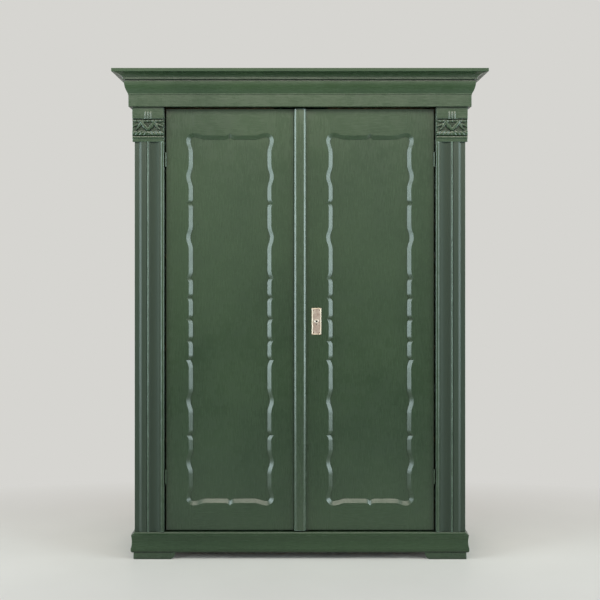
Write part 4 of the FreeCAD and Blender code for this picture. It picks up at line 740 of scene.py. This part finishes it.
def slotted_screw(name, place, outward, radius, turn, material, body):
    """A countersunk screw's head: a disc with two half domes either side of its slot."""
    shape = bmesh.new()

    def add_disc(outline, low, high, inset):
        middle = sum((Vector(point) for point in outline), Vector((0.0, 0.0))) / len(outline)
        rings = []
        shoulder = high - (high - low) * DOME_SHOULDER
        for depth, share in ((low, 1.0), (shoulder, 1.0), (high, inset)):
            ring = [middle + (Vector(point) - middle) * share for point in outline]
            rings.append([(point.x, point.y, depth) for point in ring])
        add_solid(shape, rings)

    turns = [math.tau * step / SCREW_STEPS for step in range(SCREW_STEPS)]
    add_disc([(radius * math.cos(a), radius * math.sin(a)) for a in turns], SCREW_FOOT, SLOT_FLOOR,
             DISC_INSET)
    reach = math.asin(SLOT_SHARE)
    arc = [reach + (math.pi - 2 * reach) * step / DOME_STEPS for step in range(DOME_STEPS + 1)]
    for hand in (1, -1):
        add_disc([(radius * math.cos(a), hand * radius * math.sin(a)) for a in arc], SLOT_FLOOR,
                 SCREW_PROUD, DOME_INSET)
    facing = Vector(outward).to_track_quat("Z", "Y").to_matrix().to_4x4()
    shape.transform(Matrix.Translation(place) @ facing @ Matrix.Rotation(turn, 4, "Z"))
    finish_piece(name, shape, material, body)


for side, hand in HANDS.items():
    for joint, z_joint in HINGE_HEIGHTS.items():
        for number, y in enumerate(SCREW_DEPTHS):
            for leaf, x, outward, z, body in (
                    ("door", DOOR_LEAF_X, hand, z_joint + SCREW_FROM_JOINT, f"{side}_door"),
                    ("post", POST_LEAF_X, -hand, z_joint - SCREW_FROM_JOINT, "cabinet")):
                slotted_screw(f"{side}_{joint}_hinge_{leaf}_screw_{number + 1}", (hand * x, y, z),
                              (outward, 0, 0), HINGE_SCREW_RADIUS,
                              SCREW_TURN + number * NEXT_SCREW_TURN + HINGE_TURNS[joint],
                              PAINTED_IRON, body)

# ---------------------------------------------------------------------------------------------
# Meeting strip: a flat pine strip with rounded bevels, glued and pinned along the edge of the
# right door.  Its long edges are painted the palest, as rubbed paint and as a painted highlight.

dress(green_paint("z", "strip_paint", ease=0.0026, wear_and_highlight=1.0, rubbed_highlight_shade=shade(214, 236, 224),
                  shine=0.82), "meeting_strip")

# ---------------------------------------------------------------------------------------------
# Key plate: thin copper with a fine raised rim and a small boss round the keyhole, held on the
# right door by four pins that have gone dark.

COPPER = worn_metal("copper", deep=shade(194, 168, 154), bright=shade(224, 208, 194),
                    dirt=shade(116, 94, 80), roughness=0.4)
RIM_COPPER = worn_metal("rim_copper", deep=shade(208, 192, 168), bright=shade(232, 222, 202),
                        dirt=shade(120, 98, 80), roughness=0.36)
RING_COPPER = worn_metal("rubbed_copper", deep=shade(196, 182, 168), bright=shade(222, 212, 200),
                         dirt=shade(120, 98, 84), roughness=0.38, grime=0.2)
PIN_COPPER = worn_metal("dull_pin", deep=shade(92, 70, 58), bright=shade(150, 122, 104),
                        dirt=shade(50, 36, 28), roughness=0.5)
dress(COPPER, "key_plate")
PLATE_LOW, PLATE_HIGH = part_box("key_plate")
PLATE_FACE, KEYHOLE_HEIGHT = PLATE_LOW.y, 0.913
PLATE_MIDDLE = (PLATE_LOW.x + PLATE_HIGH.x) / 2
PLATE_HALF_WIDE, PLATE_HALF_TALL = PLATE_HIGH.x - PLATE_MIDDLE, (PLATE_HIGH.z - PLATE_LOW.z) / 2
RIM_IN, RIM_CORNER = 0.0022, 0.0035
RIM_HALF_WIDE, RIM_PROUD = 0.0014, 0.0008
RING_REACH, RING_CORNER, RING_HALF_WIDE, RING_PROUD = 0.0062, 0.0061, 0.0019, 0.0014
PLATE_BEAD_SUNK, HALF_ROUND_STEPS, CORNER_STEPS = 0.0001, 8, 6


def key_plate_bead(name, half_wide, half_tall, corner, bead_half_wide, proud, material):
    """A closed half round bead on the plate, round a box with round corners about the keyhole."""
    path = []
    for x_hand, z_hand, start in ((1, 1, 0.0), (-1, 1, 0.5), (-1, -1, 1.0), (1, -1, 1.5)):
        for step in range(CORNER_STEPS + 1):
            turn = math.pi * (start + step / (CORNER_STEPS * 2))
            path.append((PLATE_MIDDLE + x_hand * (half_wide - corner) + corner * math.cos(turn),
                         KEYHOLE_HEIGHT + z_hand * (half_tall - corner) + corner * math.sin(turn)))
    shape = bmesh.new()
    rows = []
    for here in range(len(path)):
        along = (Vector(path[(here + 1) % len(path)]) - Vector(path[here - 1])).normalized()
        across = Vector((along.y, -along.x))
        row = []
        for step in range(HALF_ROUND_STEPS + 1):
            turn = math.pi * step / HALF_ROUND_STEPS
            out = Vector(path[here]) + across * (bead_half_wide * math.cos(turn))
            y = PLATE_FACE - proud * math.sin(turn) + PLATE_BEAD_SUNK
            row.append(shape.verts.new((out.x, y, out.y)))
        rows.append(row)
    for low, high in zip(rows, rows[1:] + rows[:1]):
        join_rings(shape, low, high)
    finish_piece(name, shape, material, "right_door", smooth=50.0)


key_plate_bead("key_plate_rim", PLATE_HALF_WIDE - RIM_IN, PLATE_HALF_TALL - RIM_IN, RIM_CORNER,
               RIM_HALF_WIDE, RIM_PROUD, RIM_COPPER)
key_plate_bead("keyhole_ring", RING_REACH, RING_REACH, RING_CORNER, RING_HALF_WIDE, RING_PROUD,
               RING_COPPER)

PIN_HEIGHTS, PIN_OUT, PIN_RADIUS = {"low": 0.8705, "high": 0.9550}, 0.0115, 0.0019
PIN_STEPS = 16
PIN_DOME = ((1.0, -0.0003), (1.0, 0.000225), (0.8, 0.000612), (0.5, 0.00081), (0.2, 0.0009))


def plate_pin(name, x, z):
    """The low dome of a pin that faces the front."""
    turns = [math.tau * step / PIN_STEPS for step in range(PIN_STEPS)]
    shape = bmesh.new()
    add_solid(shape, [[(x + PIN_RADIUS * share * math.cos(turn), PLATE_FACE - rise,
                        z + PIN_RADIUS * share * math.sin(turn)) for turn in turns]
                      for share, rise in PIN_DOME])
    finish_piece(name, shape, PIN_COPPER, "right_door", smooth=60.0)


for row, z in PIN_HEIGHTS.items():
    for side, hand in HANDS.items():
        plate_pin(f"key_plate_pin_{row}_{side}", PLATE_MIDDLE + hand * PIN_OUT, z)

# ---------------------------------------------------------------------------------------------
# Lock, bolt and turn button: a dark iron box lock screwed inside the right door, a flat iron bolt
# and a wear plate screwed inside the left one, and a pine button on one screw at its foot.

DARK_IRON = worn_metal("dark_iron", deep=shade(84, 80, 76), bright=shade(128, 124, 120),
                       dirt=shade(44, 34, 28), roughness=0.46)
dress(DARK_IRON, "lock_case", "lock_bolt", "lock_wear_plate", "top_bolt_plate", "top_bolt_bar",
      "bolt_keeper", "turn_button_screw")
dress(bare_wood("x", "button_wood"), "turn_button")
PLATE_SCREW_TURN, NEXT_ROW_TURN, NEXT_SIDE_TURN = 0.4, 1.3, 0.8
LOCK_BACK, BOLT_BACK, WEAR_PLATE_BACK, KEEPER_BACK = -0.162, -0.1775, -0.179, -0.1778
LOCK_SCREW_RADIUS, BOLT_SCREW_RADIUS = 0.0036, 0.0026


def corner_screws(node, inset, radius, y, body, rows=(0, 1), sides=(0, 1)):
    """Slotted screws near the corners of an iron plate, on its face towards the back."""
    low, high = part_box(node)
    for row in rows:
        z = low.z + inset[1] if row == 0 else high.z - inset[1]
        for side in sides:
            x = low.x + inset[0] if side == 0 else high.x - inset[0]
            turn = PLATE_SCREW_TURN + row * NEXT_ROW_TURN + side * NEXT_SIDE_TURN
            slotted_screw(f"{node}_screw_{row + 1}_{side + 1}", (x, y, z), (0, 1, 0), radius, turn,
                          DARK_IRON, body)


corner_screws("lock_case", (0.009, 0.009), LOCK_SCREW_RADIUS, LOCK_BACK, "right_door")
corner_screws("top_bolt_plate", (0.0045, 0.0045), BOLT_SCREW_RADIUS, BOLT_BACK, "left_door")
corner_screws("lock_wear_plate", (0.011, 0.007), BOLT_SCREW_RADIUS, WEAR_PLATE_BACK, "left_door",
              sides=(0,))
corner_screws("bolt_keeper", (0.0048, 0.01), BOLT_SCREW_RADIUS, KEEPER_BACK, "cabinet", rows=(0,))
